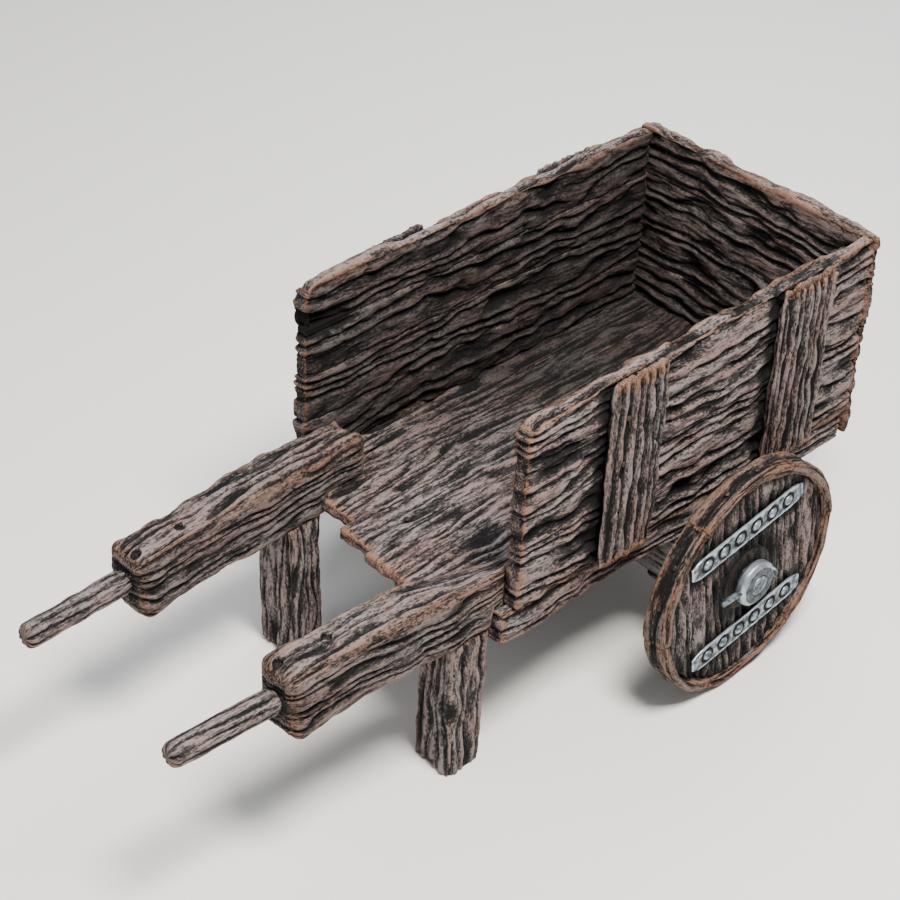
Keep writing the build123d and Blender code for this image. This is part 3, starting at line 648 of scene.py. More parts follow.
# %% Cleats
CLEAT_LOWERED = {"left": 0.012, "right": 0.0}
CLEAT_END_DEPTH = {"left": 0.008, "right": 0.026}
for side in SIDE:
    for place in ("front", "rear"):
        node = f"{side}_{place}_cleat"
        low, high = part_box(node)
        top = high - Vector((0, 0, CLEAT_LOWERED[side]))
        piece = timber(node, "strip", (low, top), 0.004, (0.0024, 0.0030, 0.007))
        carve(piece, "z", 130 + 7 * len(side) + len(place), pitch=0.0225, depth=0.021, sway=0.6, sharp=1.15,
              least=0.8, end_depth=CLEAT_END_DEPTH[side], worn=0.034,
              outline=((low.x - 1, low.y, low.z), (high.x + 1, high.y, high.z)))
        hand_over(piece, node, old_timber)
print("cleats done")

# %% [markdown]
# ## Floor, sills and bearers
# The floor's planks run lengthways, and each ends at a place of its own, which leaves the front edge uneven.
# A sill stands under each side, and three bearers cross between the sills. One function paints shade on
# everything that faces up, darker at the back and on the left, where the box is in shade.

# %% Floor, sills and bearers
SHADE_START, SHADE_RUN = 0.15, 0.55
SHADE_RIGHT, SHADE_WIDTH = 0.10, 0.30


def corner_shade(co, normal):
    """Painted shade on upward faces, darkest at the tail of the barrow and along its left side."""
    back = np.clip((co[:, 0] - BOX_FRONT - SHADE_START) / SHADE_RUN, 0, 1)
    left = np.clip((co[:, 1] + SHADE_RIGHT) / SHADE_WIDTH, 0, 1)
    return 0.78 * np.clip(0.75 * back + 0.65 * left * back ** 0.5, 0, 1) * (normal[:, 2] > 0.5)


whole = span("floor_plank_1", "floor_plank_6")
for number in range(1, 7):
    node = f"floor_plank_{number}"
    piece = timber(node, "board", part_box(node), 0.004, (0.0065, 0.0028, 0.0030))
    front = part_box(node)[0].x
    carve(piece, "x", 200 + number, pitch=0.019, depth=0.009, sway=1.3, swell=0.003, end_depth=0.014,
          outline=((front, -1, whole[0].z), (whole[1].x + 1, 1, whole[1].z)), worn=0.03, tight=1,
          dirt_and_shade=corner_shade)
    hand_over(piece, node, old_timber)
for side, sign in SIDE.items():
    node = f"{side}_sill"
    low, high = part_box(node)
    piece = timber(node, "timber", (low, high), 0.006, (0.0075, 0.0032, 0.0032))
    # The outline reaches a metre past the inner arris, which the floor hides, so that it isn't worn.
    low, high = (low, high + Vector((0, 1, 0))) if sign < 0 else (low - Vector((0, 1, 0)), high)
    carve(piece, "x", 240 + len(side), pitch=0.021, depth=0.010, outline=(low, high), dirt_and_shade=corner_shade)
    hand_over(piece, node, old_timber)
for place in ("front", "middle", "rear"):
    node = f"{place}_bearer"
    piece = timber(node, "timber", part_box(node), 0.005, (0.005, 0.012, 0.005))
    carve(piece, "y", 260 + len(place), pitch=0.022, depth=0.006)
    hand_over(piece, node, old_timber)
print("floor done")

# %% [markdown]
# ## The shafts' own frame
# A shaft is a square timber that comes in a little towards its grip. It is drawn straight, along its own
# length, and only set at its slight angle when it is finished, because its grain has to follow its length.
# The grip's mount gives that line.

# %% The shafts' own frame
mounts = {m["name"]: m for m in record["mounts"]}
GRIP_FREE = mounts["left_grip"]["dims"]["length_mm"] / 1000
GRIP_RADIUS = mounts["left_grip"]["dims"]["r_mm"] / 1000
GRIP_NECK = 0.005
GRIP_ROUND = 0.014
SHAFT_WIDTH = 0.093
SHAFT_LOW, SHAFT_HIGH = (corner.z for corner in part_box("left_shaft"))
FLOOR_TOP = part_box("floor_plank_3")[1].z
BOARD_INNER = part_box("left_side_plank_1")[0].y
SILL_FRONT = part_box("left_sill")[0].x


def along_shaft(side):
    """The matrix from a shaft's own frame to the barrow: its X runs from the grip to the tail."""
    place, tip = Vector(mounts[f"{side}_grip"]["pos_m"]), Vector(mounts[f"{side}_grip"]["axis"])
    tailward = -tip.normalized()
    up = Vector((0, 0, 1))
    return Matrix.Translation(place) @ Matrix((tailward, up.cross(tailward), up)).transposed().to_4x4()


SHAFT_START = GRIP_FREE / 2 + GRIP_NECK
shaft_end = along_shaft("left").inverted() @ Vector((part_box("left_shaft")[1].x, BOARD_INNER, SHAFT_HIGH))
print("shaft length", round(shaft_end.x - SHAFT_START, 4))

# %% [markdown]
# ## A shaft's blank
# The blank is a straight bar with rounder arrises than the boards have. The two open peg holes in its top are
# only 20 mm across, so the net is made three times finer round them before they are sunk.

# %% A shaft's blank
PEG_STATIONS = (0.016, 0.116)
PEG_SIDE = 0.013
PEG_NEAR = 0.017
PEG_HOLE_RADIUS, PEG_HOLE_DEPTH = 0.0100, 0.016


def shaft_blank(holes, low_z, high_z):
    """A straight bar with a finer net round the peg holes."""
    bm = block((SHAFT_START, -SHAFT_WIDTH / 2, low_z), (shaft_end.x, SHAFT_WIDTH / 2, high_z))
    wear_arrises(bm, 0.016, segments=4)
    rule_lines(bm, (0.0055, 0.0027, 0.0027))
    near = [e for e in bm.edges
            if all(any((v.co - hole).length < PEG_NEAR for hole in holes) for v in e.verts)]
    bmesh.ops.subdivide_edges(bm, edges=near, cuts=2, use_grid_fill=True)
    return bm


def root_and_side_shade(co, normal):
    """Painted shade: near black in the crease round the root of the grip, and lighter on the sides of the shaft.
    """
    root = np.clip(1.6 - np.hypot(co[:, 1], co[:, 2]) / 0.030, 0, 1) * (normal[:, 0] < -0.6)
    return np.maximum(0.9 * root, 0.3 * np.abs(normal[:, 1]))


# %% [markdown]
# ## The shafts' heads and tails
# A shaft swells a little towards its grip and its head is domed. Its tail is thinner where it laps over the
# sill and narrower between the side boards, and the right one is hewn away to the floor. Moving the carved
# points does all of this and keeps the faces small and even, where a boolean cut would leave long thin ones.

# %% Shaping the ends
BULGE, BULGE_LENGTH = 0.13, 0.085
DOME, DOME_LENGTH = 0.20, 0.030
TAIL_GAP = 0.002  # between a tail and the side board beside it
HEWN_BEFORE_BOX, HEWN_LENGTH = 0.19, 0.254
HEWN_FROM_MIDDLE, HEWN_WIDTH = 0.1745, 0.09
HEWN_LEFT = 0.011  # wood left above the floor


def swell_head(co):
    """Swells the head of a shaft and domes its end."""
    bulge = 1 + BULGE * np.clip(1 - (co[:, 0] - SHAFT_START) / BULGE_LENGTH, 0, 1) ** 0.7
    dome = 1 - DOME * np.clip(1 - (co[:, 0] - SHAFT_START) / DOME_LENGTH, 0, 1) ** 2
    co[:, 1] *= bulge * dome
    co[:, 2] *= np.where(co[:, 2] < 0, bulge, 1) * dome


def fit_tail(co, side, sign, world, middle_z):
    """Thins the tail over the sill, keeps it clear of the side board, and hews the right one down."""
    spots = co @ np.array(world.to_3x3()).T + np.array(world.translation)
    floor_z = FLOOR_TOP - middle_z
    lap = spots[:, 0] > SILL_FRONT
    co[lap, 2] = np.where(co[lap, 2] < 0, co[lap, 2] * (floor_z / (SHAFT_LOW - middle_z)), co[lap, 2])
    limit = np.abs(spots[:, 1])
    over = (spots[:, 0] > BOX_FRONT) & (limit > BOARD_INNER - TAIL_GAP)
    co[over, 1] -= sign * (limit[over] - (BOARD_INNER - TAIL_GAP)) * 0.97
    if side == "right":
        inward = np.clip((np.abs(spots[:, 1]) - HEWN_FROM_MIDDLE) / HEWN_WIDTH, 0, 1)
        fall = np.clip((spots[:, 0] - (BOX_FRONT - HEWN_BEFORE_BOX)) / HEWN_LENGTH, 0, 1)
        top = SHAFT_HIGH - middle_z - (SHAFT_HIGH - FLOOR_TOP - HEWN_LEFT) * fall * (1 - inward)
        high = co[:, 2] > floor_z
        share = (top - floor_z) / (SHAFT_HIGH - middle_z - floor_z)
        co[high, 2] = floor_z + (co[high, 2] - floor_z) * share[high]


# %% [markdown]
# ## Shafts
# The steps come in this order: blank, carving, shaping, and last the slight angle. The carving comes first
# because it needs a straight bar, and it sinks the peg holes too, as one more hollow.

# %% Shafts
SHAFT_SEED = {"left": 300, "right": 341}
for side, sign in SIDE.items():
    node = f"{side}_shaft"
    middle_z = mounts[f"{side}_grip"]["pos_m"][2]
    holes = [Vector((SHAFT_START + station, -sign * PEG_SIDE, SHAFT_HIGH - middle_z))
             for station in PEG_STATIONS]
    piece = new_piece(f"{node}_timber", shaft_blank(holes, SHAFT_LOW - middle_z, SHAFT_HIGH - middle_z))

    def peg_holes(co, normal):
        """Depth of the open peg holes in the top."""
        away = np.min([np.hypot(co[:, 0] - hole.x, co[:, 1] - hole.y) for hole in holes], axis=0)
        return PEG_HOLE_DEPTH * np.clip((PEG_HOLE_RADIUS - away) / 0.003, 0, 1) * (normal[:, 2] > 0.7)

    carve(piece, "x", SHAFT_SEED[side], pitch=0.0195, depth=0.012, swell=0.006, end_depth=0.010, worn=0.030,
          dirt_and_shade=root_and_side_shade, hollow=peg_holes)
    co, normal = read_points(piece.data)
    world = along_shaft(side)
    swell_head(co)
    fit_tail(co, side, sign, world, middle_z)
    write_points(piece.data, co)
    piece.data.transform(world)
    piece.data.update()
    hand_over(piece, node, old_timber)
print("shafts done")

# %% [markdown]
# ## Turned pieces
# A profile is drawn beside the centre line and spun once round it. Spin leaves the last ring on the first, so
# the doubles are merged, and the normals are made to point outwards again.


# %% Spinning a profile
def spin_round(bm, verts, edges, axis, steps):
    """Spins a profile a full turn, merges its doubles and turns its faces outwards."""
    bmesh.ops.spin(bm, geom=verts + edges, cent=(0, 0, 0), axis=axis, angle=2 * math.pi, steps=steps,
                   use_merge=True)
    bmesh.ops.remove_doubles(bm, verts=bm.verts, dist=1e-6)
    bmesh.ops.recalc_face_normals(bm, faces=bm.faces)


def turned(profile, steps, axis="x"):
    """A closed solid of revolution from (distance along the axis, radius) points. It is spun about X, and
    stood up along Z if the axis is z."""
    bm = bmesh.new()
    verts = [bm.verts.new((x, 0, r)) for x, r in profile]
    edges = [bm.edges.new(pair) for pair in zip(verts, verts[1:])]
    spin_round(bm, verts, edges, (1, 0, 0), steps)
    if axis == "z":
        bmesh.ops.rotate(bm, cent=(0, 0, 0), matrix=Matrix.Rotation(-math.pi / 2, 3, "Y"), verts=bm.verts)
    return bm


def arc(x, r, radius, start, end, count):
    """Points of a rounded corner, with angles in degrees from +X towards the outside."""
    angles = [math.radians(start + (end - start) * n / count) for n in range(count + 1)]
    return [(x + radius * math.cos(a), r + radius * math.sin(a)) for a in angles]


# %% [markdown]
# ## Grips
# A grip is turned and then worn smooth by hands, so its cords are shallow. There is a whole number of them
# round it, which lets the pattern close on itself. Its root runs on into the shaft, to leave no gap.


# %% Carving a turned piece
def carve_turned(piece, seed, radius, lanes, depth, swell, wear):
    """Grain along X on a turned piece, with a whole number of cords round it."""
    mesh = piece.data
    co, normal = read_points(mesh)
    angle = np.arctan2(co[:, 1], co[:, 2])
    pitch = 2 * np.pi * radius / lanes
    lane = (angle / (2 * np.pi) + 0.5) * lanes
    relief = cords(co[:, 0], lane * pitch, seed, pitch, 1.0, wrap=lanes)
    flat = np.clip(np.hypot(co[:, 1], co[:, 2]) / (0.6 * radius), 0, 1)
    relief = 1 - (1 - relief) * flat
    slow = noise(co[:, 0] / 0.07, angle / np.pi + 1, seed + 9, 2)
    quick = noise(co[:, 0] / 0.03, angle * 0 + 0.5, seed + 8)
    wander = swell * (slow + 0.6 * quick)
    co += normal * (-depth * (1 - relief) + wander)[:, None]
    write_points(mesh, co)
    store(mesh, "relief", relief)
    store(mesh, "wear", wear(co))
    store(mesh, "dirt_and_shade", np.zeros(len(co)))
    round_it = radius * np.cos(angle), radius * np.sin(angle)
    store_grain(mesh, np.stack([co[:, 0] + seed * 0.1, *round_it], axis=1))


# %% Grips
GRIP_LANES, GRIP_DEPTH, GRIP_SWELL = 9, 0.0036, 0.0018
GRIP_RINGS = 56
for side in SIDE:
    node = f"{side}_grip"
    tip = -GRIP_FREE / 2 - GRIP_ROUND
    root = GRIP_FREE / 2
    profile = [(tip, 0.0), (tip, 0.005)]
    profile += arc(tip + GRIP_ROUND, GRIP_RADIUS - GRIP_ROUND, GRIP_ROUND, 180, 90, 6)
    profile += [(tip + GRIP_ROUND + (GRIP_FREE - 0.006) * n / GRIP_RINGS, GRIP_RADIUS)
                for n in range(1, GRIP_RINGS + 1)]
    profile += [(root, GRIP_RADIUS - 0.003), (root + GRIP_NECK, GRIP_RADIUS - 0.004)]
    profile += [(root + 0.02, 0.02), (root + 0.02, 0.0)]
    piece = new_piece(f"{node}_turning", turned(profile, 56))
    carve_turned(piece, 400 + len(side), GRIP_RADIUS, GRIP_LANES, GRIP_DEPTH, GRIP_SWELL,
                 wear=lambda co: 0.6 * np.clip(1 - (co[:, 0] - tip) / 0.03, 0, 1))
    piece.data.transform(along_shaft(side))
    hand_over(piece, node, old_timber)
print("grips done")

# %% [markdown]
# ## Legs and axle bed
# A real leg is tenoned into its shaft. Here it runs 4 mm into it, because the tenon can't be seen. It is
# thinner at the foot, so it is carved straight and then tapered. The right one has a knot. The axle bed is a
# plain block under the sills, and its grain is only just cut.

# %% Legs
LEG_LOW, LEG_TOP = 0.0, SHAFT_LOW + 0.004
LEG_WIDTH, LEG_DEPTH, FOOT_DEPTH = 0.088, 0.087, 0.078
LEG_START = SHAFT_START + 0.465 - 0.118
KNOT_HEIGHT, KNOT_SIZE = 0.16, 0.020
for side in SIDE:
    node = f"{side}_leg"
    middle_z = mounts[f"{side}_grip"]["pos_m"][2]
    low = (LEG_START, -LEG_WIDTH / 2, LEG_LOW - middle_z)
    high = (LEG_START + LEG_DEPTH, LEG_WIDTH / 2, LEG_TOP - middle_z)
    piece = timber(node, "timber", (low, high), 0.007, (0.0028, 0.0028, 0.0065), segments=3)
    knot = ((LEG_START, -LEG_WIDTH / 2, KNOT_HEIGHT - middle_z), KNOT_SIZE)
    carve(piece, "z", 500 + 3 * len(side), pitch=0.0185, depth=0.011, swell=0.005, end_depth=0.004, worn=0.010,
          knots=[knot] if side == "right" else [])
    co, normal = read_points(piece.data)
    share = np.clip((co[:, 2] - co[:, 2].min()) / (LEG_TOP - LEG_LOW), 0, 1)
    middle_x = LEG_START + LEG_DEPTH / 2
    co[:, 0] = middle_x + (co[:, 0] - middle_x) * (FOOT_DEPTH + (LEG_DEPTH - FOOT_DEPTH) * share) / LEG_DEPTH
    co[:, 2] = np.maximum(co[:, 2], LEG_LOW - middle_z)
    write_points(piece.data, co)
    piece.data.transform(along_shaft(side))
    piece.data.update()
    hand_over(piece, node, old_timber)
print("legs done")

# %% Axle bed
piece = timber("axle_bed", "timber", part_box("axle_bed"), 0.012, (0.005, 0.012, 0.005), segments=3)
carve(piece, "y", 610, pitch=0.017, depth=0.0022, swell=0.002)
hand_over(piece, "axle_bed", grey_timber)
print("axle bed done")

# %% [markdown]
# ## Iron
# The straps, rivets, collars and linchpins are forged. The high spots rub bright and the hollows keep black
# scale. Iron is a metal, so its colour tints what it reflects, and its shine comes from a middling roughness.


# %% Iron material
def forged_iron(name, scale_black, bare, bright, metallic):
    """Hammered iron in three colours: black scale, bare grey, and bright, which marks rubbed spots and painted
    highlights.
    """
    material = bpy.data.materials.new(name)
    material.use_nodes = True
    tree = material.node_tree
    shader = tree.nodes["Principled BSDF"]
    place = add_node(tree, "ShaderNodeTexCoord").outputs["Object"]
    lift = add_node(tree, "ShaderNodeAttribute", attribute_name="relief").outputs["Fac"]
    for scale, detail, share in ((85.0, 3.0, 0.5), (420.0, 2.0, 0.6)):
        mottle = add_node(tree, "ShaderNodeTexNoise", {"Vector": place},
                          inputs={"Scale": scale, "Detail": detail})
        lift = add_node(tree, "ShaderNodeMath", {0: mottle.outputs["Fac"], 2: lift}, operation="MULTIPLY_ADD",
                        inputs={1: share}).outputs[0]
    lift = add_node(tree, "ShaderNodeMath", {0: lift}, operation="ADD", inputs={1: -0.60}).outputs[0]
    ramp = add_node(tree, "ShaderNodeValToRGB", {"Fac": lift})
    stops = ramp.color_ramp.elements
    stops[0].position, stops[0].color = 0.40, linear(scale_black)
    stops[1].position, stops[1].color = 1.0, linear(bright)
    stops.new(0.72).color = linear(bare)
    tree.links.new(ramp.outputs["Color"], shader.inputs["Base Color"])
    shader.inputs["Metallic"].default_value = metallic
    dull = add_node(tree, "ShaderNodeMapRange", {"Value": lift},
                    inputs={"From Min": 0.3, "From Max": 1.1, "To Min": 0.75, "To Max": 0.36})
    tree.links.new(dull.outputs["Result"], shader.inputs["Roughness"])
    bump = add_node(tree, "ShaderNodeBump", {"Height": lift}, inputs={"Strength": 0.5, "Distance": 0.0012})
    tree.links.new(bump.outputs["Normal"], shader.inputs["Normal"])
    return material


# Handled and rubbed iron: pale blue grey, with glints.
bright_iron = forged_iron("rubbed wrought iron", "#0a0b0c", "#565e66", "#a6b1bb", 0.8)
# Iron that runs in grease: dark, with a soft sheen.
dark_iron = forged_iron("oiled bearing iron", "#0a0a0b", "#26282b", "#474a4e", 0.8)
# Rusted iron: brown and hardly metallic, so that it reads as matt.
rusty_iron = forged_iron("rusted nail iron", "#0b0807", "#261b17", "#3f2e26", 0.3)
print("iron finishes:", bright_iron.name, "/", dark_iron.name, "/", rusty_iron.name)

# %% [markdown]
# ## Hammering
# A hammer leaves shallow facets about 13 mm across. They are moved in the mesh, because they bend the glints,
# and the same numbers say where the iron is bright. Dirt and scale stay in a ring round each rivet.

# %% Hammering
FACET, FACET_UP = 0.013, 0.017
RING_SINK = 0.0012
EDGE_WEAR = 0.006


def hammer(piece, seed, dent=0.0006, rings=(), patchy=0.3, painted_highlight=None):
    """Shallow hammer facets, with black scale kept in a ring round each rivet. The highlight argument is a
    function of position and normal, and says where the iron gets a painted highlight, as if light caught it."""
    mesh = piece.data
    co, normal = read_points(mesh)
    blows = noise(co[:, 0] / FACET + co[:, 2] / FACET_UP, co[:, 1] / FACET, seed)
    relief = np.clip(0.8 + patchy * blows, 0, 1.2)
    sink = np.zeros(len(co))
    for x, y, inner, outer in rings:
        away = np.hypot(co[:, 0] - x, co[:, 1] - y)
        ring = np.clip(1 - np.abs(away - (inner + outer) / 2) / ((outer - inner) / 2), 0, 1)
        relief = relief * (1 - 0.95 * ring)
        sink = np.maximum(sink, ring)
    relief += 0.4 * arris_wear(co, EDGE_WEAR) + (painted_highlight(co, normal) if painted_highlight else 0)
    co += normal * (dent * blows - RING_SINK * sink)[:, None]
    write_points(mesh, co)
    store(mesh, "relief", relief)


# %% [markdown]
# ## The wheels
# Three upright boards make a disc, six bent felloes nailed round them make the tread, and two iron straps
# tie the boards across. A wheel is built lying flat, with its axle along Z, and stood up on the axle at the
# end. The left wheel is made like the right one, mirrored and set at another angle, with grain of its own.

# %% Wheel sizes
WHEEL_PLACE = {j["child"]: Vector(j["pos_m"]) for j in frame["joints"]}
WHEEL_RADIUS = WHEEL_PLACE["left_wheel"].z
RIM_INNER, RIM_OUTER = (corner.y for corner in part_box("left_wheel_felloes"))
BOARD_BACK, BOARD_FACE = (corner.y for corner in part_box("left_wheel_board_2"))
FELLOE_DEPTH = 0.024
DISC_RADIUS = WHEEL_RADIUS - FELLOE_DEPTH - 0.0003
WHEEL_TURN = {"right": math.radians(9), "left": math.radians(31)}
STRAP_OFFSET, STRAP_LENGTH, STRAP_WIDTH = 0.119, 0.306, 0.046
STRAP_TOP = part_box("left_wheel_straps")[1].y
RIVETS_X = [(n - 2.5) * 0.0444 for n in range(6)]
CENTRE_BOARD = 0.176


def stand_wheel(piece, side):
    """Turns a flat wheel piece to its rest angle and stands it up on the axle, facing outwards."""
    middle = WHEEL_PLACE[f"{side}_wheel"]
    stand = Matrix.Translation((middle.x, 0, middle.z)) @ Matrix.Rotation(math.pi / 2, 4, "X")
    stand = stand @ Matrix.Rotation(WHEEL_TURN[side], 4, "Z")
    if side == "left":
        stand = Matrix.Scale(-1, 4, (0, 1, 0)) @ stand
    piece.data.transform(stand)
    if side == "left":
        piece.data.flip_normals()
    piece.data.update()


print("wheel radius", round(WHEEL_RADIUS, 4))

# %% [markdown]
# ## Disc boards
# The disc is three boards, cut to a circle by 72 straight cuts. The grid that a board starts from is fine
# enough to carry the grain, so only its outline has to be cut. Painted shade lies beside the straps, round
# the hub and inside the rim, where they shade the disc.

# %% Disc boards
DISC_CUTS = 72
DISC_ROWS = 72
DISC_STEP = 0.0025
BOARD_GAP = 0.0004  # taken off each edge of a board


def disc_board(left, right):
    """One upright board of the disc, cut to the circle with many short saw cuts."""
    bm = bmesh.new()
    columns = max(2, round((right - left) / DISC_STEP))
    bmesh.ops.create_grid(bm, x_segments=columns, y_segments=DISC_ROWS, size=0.5)
    bmesh.ops.scale(bm, vec=(right - left, 2 * DISC_RADIUS, 1), verts=bm.verts)
    bmesh.ops.translate(bm, vec=((left + right) / 2, 0, BOARD_FACE), verts=bm.verts)
    for n in range(DISC_CUTS):
        angle = n * math.pi / (DISC_CUTS / 2)
        out = Vector((math.cos(angle), math.sin(angle), 0))
        bmesh.ops.bisect_plane(bm, geom=bm.verts[:] + bm.edges[:] + bm.faces[:], plane_co=out * DISC_RADIUS,
                               plane_no=out, clear_outer=True, dist=1e-6)
    bmesh.ops.remove_doubles(bm, verts=bm.verts, dist=0.0004)
    grown = bmesh.ops.extrude_face_region(bm, geom=bm.faces[:], use_keep_orig=True)["geom"]
    back = [v for v in grown if isinstance(v, bmesh.types.BMVert)]
    bmesh.ops.translate(bm, vec=(0, 0, BOARD_BACK - BOARD_FACE), verts=back)
    bmesh.ops.recalc_face_normals(bm, faces=bm.faces)
    return bm


def disc_shade(co, normal):
    """Painted shade, near black, beside the straps, round the hub and inside the rim."""
    beside_strap = np.clip(1.25 - (np.abs(np.abs(co[:, 1]) - STRAP_OFFSET) - STRAP_WIDTH / 2) / 0.024, 0, 1)
    beside_strap *= np.abs(co[:, 0]) < STRAP_LENGTH / 2 + 0.006
    away = np.hypot(co[:, 0], co[:, 1])
    hub_shade = np.clip(2.9 - away / 0.040, 0, 1)
    rim_shade = np.clip((away - DISC_RADIUS + 0.022) / 0.022, 0, 1)
    rim_shade = np.clip(rim_shade + 0.5 * noise(co[:, 0] / 0.05, co[:, 1] / 0.05, 730), 0, 1)
    darkening = np.maximum(0.92 * beside_strap, np.maximum(0.94 * hub_shade, 0.75 * rim_shade))
    return np.clip(darkening, 0, 1) * (normal[:, 2] > 0)


for side in SIDE:
    edges = (-DISC_RADIUS, -CENTRE_BOARD / 2, CENTRE_BOARD / 2, DISC_RADIUS)
    for number, (left, right) in enumerate(zip(edges, edges[1:]), start=1):
        node = f"{side}_wheel_board_{number}"
        piece = new_piece(f"{node}_plank", disc_board(left + BOARD_GAP, right - BOARD_GAP))
        carve(piece, "y", 700 + 31 * number + len(side), pitch=0.0235, depth=0.014, swell=0.0015,
              end_depth=0.001, outline=((-1, -1, -1), (1, 1, 1)), dirt_and_shade=disc_shade,
              hollow=lambda co, normal: 0.003 * disc_shade(co, normal), tight=0)
        stand_wheel(piece, side)
        hand_over(piece, node, old_timber)
print("disc boards done")

# %% [markdown]
# ## Felloes
# A felloe is a bar of ash, steamed and bent. Here too it is carved as a straight bar and then bent, so its
# grain follows the rim. No point may lie outside the wheel's radius, because the wheel has to roll.

# %% Felloes
GROOVE_HALF, GROOVE_DEPTH = 0.008, 0.006


def felloe(seed, start, sweep):
    """A straight bar with grain, bent to an arc of the rim."""
    length = sweep * WHEEL_RADIUS
    bar = block((0, WHEEL_RADIUS - FELLOE_DEPTH, RIM_INNER), (length, WHEEL_RADIUS, RIM_OUTER))
    wear_arrises(bar, 0.005, segments=3)
    rule_lines(bar, (0.005, 0.0026, 0.0026))
    piece = new_piece("felloe", bar)
    middle = (RIM_INNER + RIM_OUTER) / 2

    def tread_groove(co, normal):
        """The worn hollow along the middle of the tread."""
        sway = 0.003 * noise(co[:, 0] / 0.06, co[:, 0] * 0, seed)
        hollow = np.clip(1 - ((co[:, 2] - middle + sway) / GROOVE_HALF) ** 2, 0, 1)
        return GROOVE_DEPTH * hollow * (normal[:, 1] > 0.8)

    carve(piece, "x", seed, pitch=0.017, depth=0.006, swell=0.0025, end_depth=0.002, worn=0.018, tight=0,
          hollow=tread_groove)
    co, normal = read_points(piece.data)
    angle = start + co[:, 0] / WHEEL_RADIUS
    radius = np.minimum(co[:, 1], WHEEL_RADIUS)
    co[:, 0], co[:, 1] = radius * np.cos(angle), radius * np.sin(angle)
    write_points(piece.data, co)
    piece.data.flip_normals()
    piece.data.update()
    return piece


def join_pieces(name, pieces):
    """Joins finished pieces into one object, with their attributes."""
    bpy.ops.object.select_all(action="DESELECT")
    for piece in pieces:
        piece.select_set(True)
    bpy.context.view_layer.objects.active = pieces[0]
    bpy.ops.object.join()
    pieces[0].name = name
    pieces[0].data.name = name
    return pieces[0]


GAP_ANGLE = 0.0012 / WHEEL_RADIUS
for side in SIDE:
    node = f"{side}_wheel_felloes"
    bars = [felloe(800 + 5 * n + len(side), n * math.pi / 3 + GAP_ANGLE / 2, math.pi / 3 - GAP_ANGLE)
            for n in range(6)]
    piece = join_pieces(f"{node}_rim", bars)
    stand_wheel(piece, side)
    hand_over(piece, node, rim_timber)
print("felloes done")

# %% [markdown]
# ## Straps and rivets
# A strap is a flat bar whose ends are drawn in, and six rivets hold it. A rivet has a domed head outside and
# a rove, a small washer, inside. All the rivets of a wheel are one piece, as they share one node.

# %% Straps and rivets
TAPER, TAPER_FROM, TAPER_LENGTH = 0.45, 0.118, 0.035
RIVET_RING = (0.0100, 0.0180)
RIVET_HEAD = ((0.004, 0.0), (0.0038, 0.004), (0.003, 0.0072), (0.0015, 0.0093), (-0.001, 0.010),
              (-0.001, 0.0))
ROVE = ((0.001, 0.0), (0.001, 0.009), (-0.002, 0.0085), (-0.0025, 0.005), (-0.0025, 0.0))


def strap_at(y, seed):
    """A strap across the disc at a given height, with its ends drawn in, and hammered."""
    bar = block((-STRAP_LENGTH / 2, y - STRAP_WIDTH / 2, BOARD_FACE),
                (STRAP_LENGTH / 2, y + STRAP_WIDTH / 2, STRAP_TOP))
    wear_arrises(bar, 0.0012)
    rule_lines(bar, (0.0026, 0.0026, 0.002))
    piece = new_piece("strap", bar)
    co, normal = read_points(piece.data)
    taper = 1 - TAPER * np.clip((np.abs(co[:, 0]) - TAPER_FROM) / TAPER_LENGTH, 0, 1) ** 2
    co[:, 1] = y + (co[:, 1] - y) * taper
    piece.data.vertices.foreach_set("co", co.ravel())
    # The strap's two long edge faces get a painted highlight.
    hammer(piece, seed, dent=0.0008, rings=[(x, y, *RIVET_RING) for x in RIVETS_X],
           painted_highlight=lambda co, normal: 0.5 * (np.abs(normal[:, 1]) > 0.35))
    return piece


def rivet_at(x, y):
    """The head and the rove of one rivet, as two pieces."""
    pieces = []
    for base, profile in ((STRAP_TOP, RIVET_HEAD), (BOARD_BACK, ROVE)):
        bm = turned([(base + z, r) for z, r in profile], 16, "z")
        bmesh.ops.translate(bm, vec=(x, y, 0), verts=bm.verts)
        piece = new_piece("rivet", bm)
        hammer(piece, 950, dent=0.0003)
        pieces.append(piece)
    return pieces


for side in SIDE:
    straps, rivets = [], []
    for row in (1, -1):
        straps.append(strap_at(row * STRAP_OFFSET, 900 + row))
        for x in RIVETS_X:
            rivets += rivet_at(x, row * STRAP_OFFSET)
    for name, pieces, label in (("wheel_straps", straps, "iron"), ("strap_rivets", rivets, "heads")):
        node = f"{side}_{name}"
        piece = join_pieces(f"{node}_{label}", pieces)
        stand_wheel(piece, side)
        hand_over(piece, node, bright_iron)
print("straps and rivets done")

# %% [markdown]
# ## The hub
# The wooden nave carries an iron bush. Outside it come a thrust washer and a forged collar, which a linchpin
# holds on the axle. The nave and the collar are rings, so their outlines are closed before they are spun.

# %% Hub sizes and rings
NAVE_BACK, NAVE_FACE = (corner.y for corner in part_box("left_nave"))
NAVE_RADIUS = (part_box("left_nave")[1].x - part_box("left_nave")[0].x) / 2
NAVE_BORE = 0.0275
AXLE_RADIUS = (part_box("axle")[1].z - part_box("axle")[0].z) / 2
COLLAR_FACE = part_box("axle_collars")[1].y
COLLAR_RADIUS = (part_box("axle_collars")[1].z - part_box("axle_collars")[0].z) / 2
COLLAR_BACK = COLLAR_FACE - 0.0215
COLLAR_BORE = AXLE_RADIUS + 0.0005
PIN_RADIUS, PIN_HEAD = 0.006, 0.011


def fill_outline(points, step):
    """Adds points between the corners of an outline, so that none is farther than a step from the next."""
    full = []
    for (z0, r0), (z1, r1) in zip(points, points[1:] + points[:1]):
        count = max(1, round(math.hypot(z1 - z0, r1 - r0) / step))
        full += [(z0 + (z1 - z0) * n / count, r0 + (r1 - r0) * n / count) for n in range(count)]
    return full


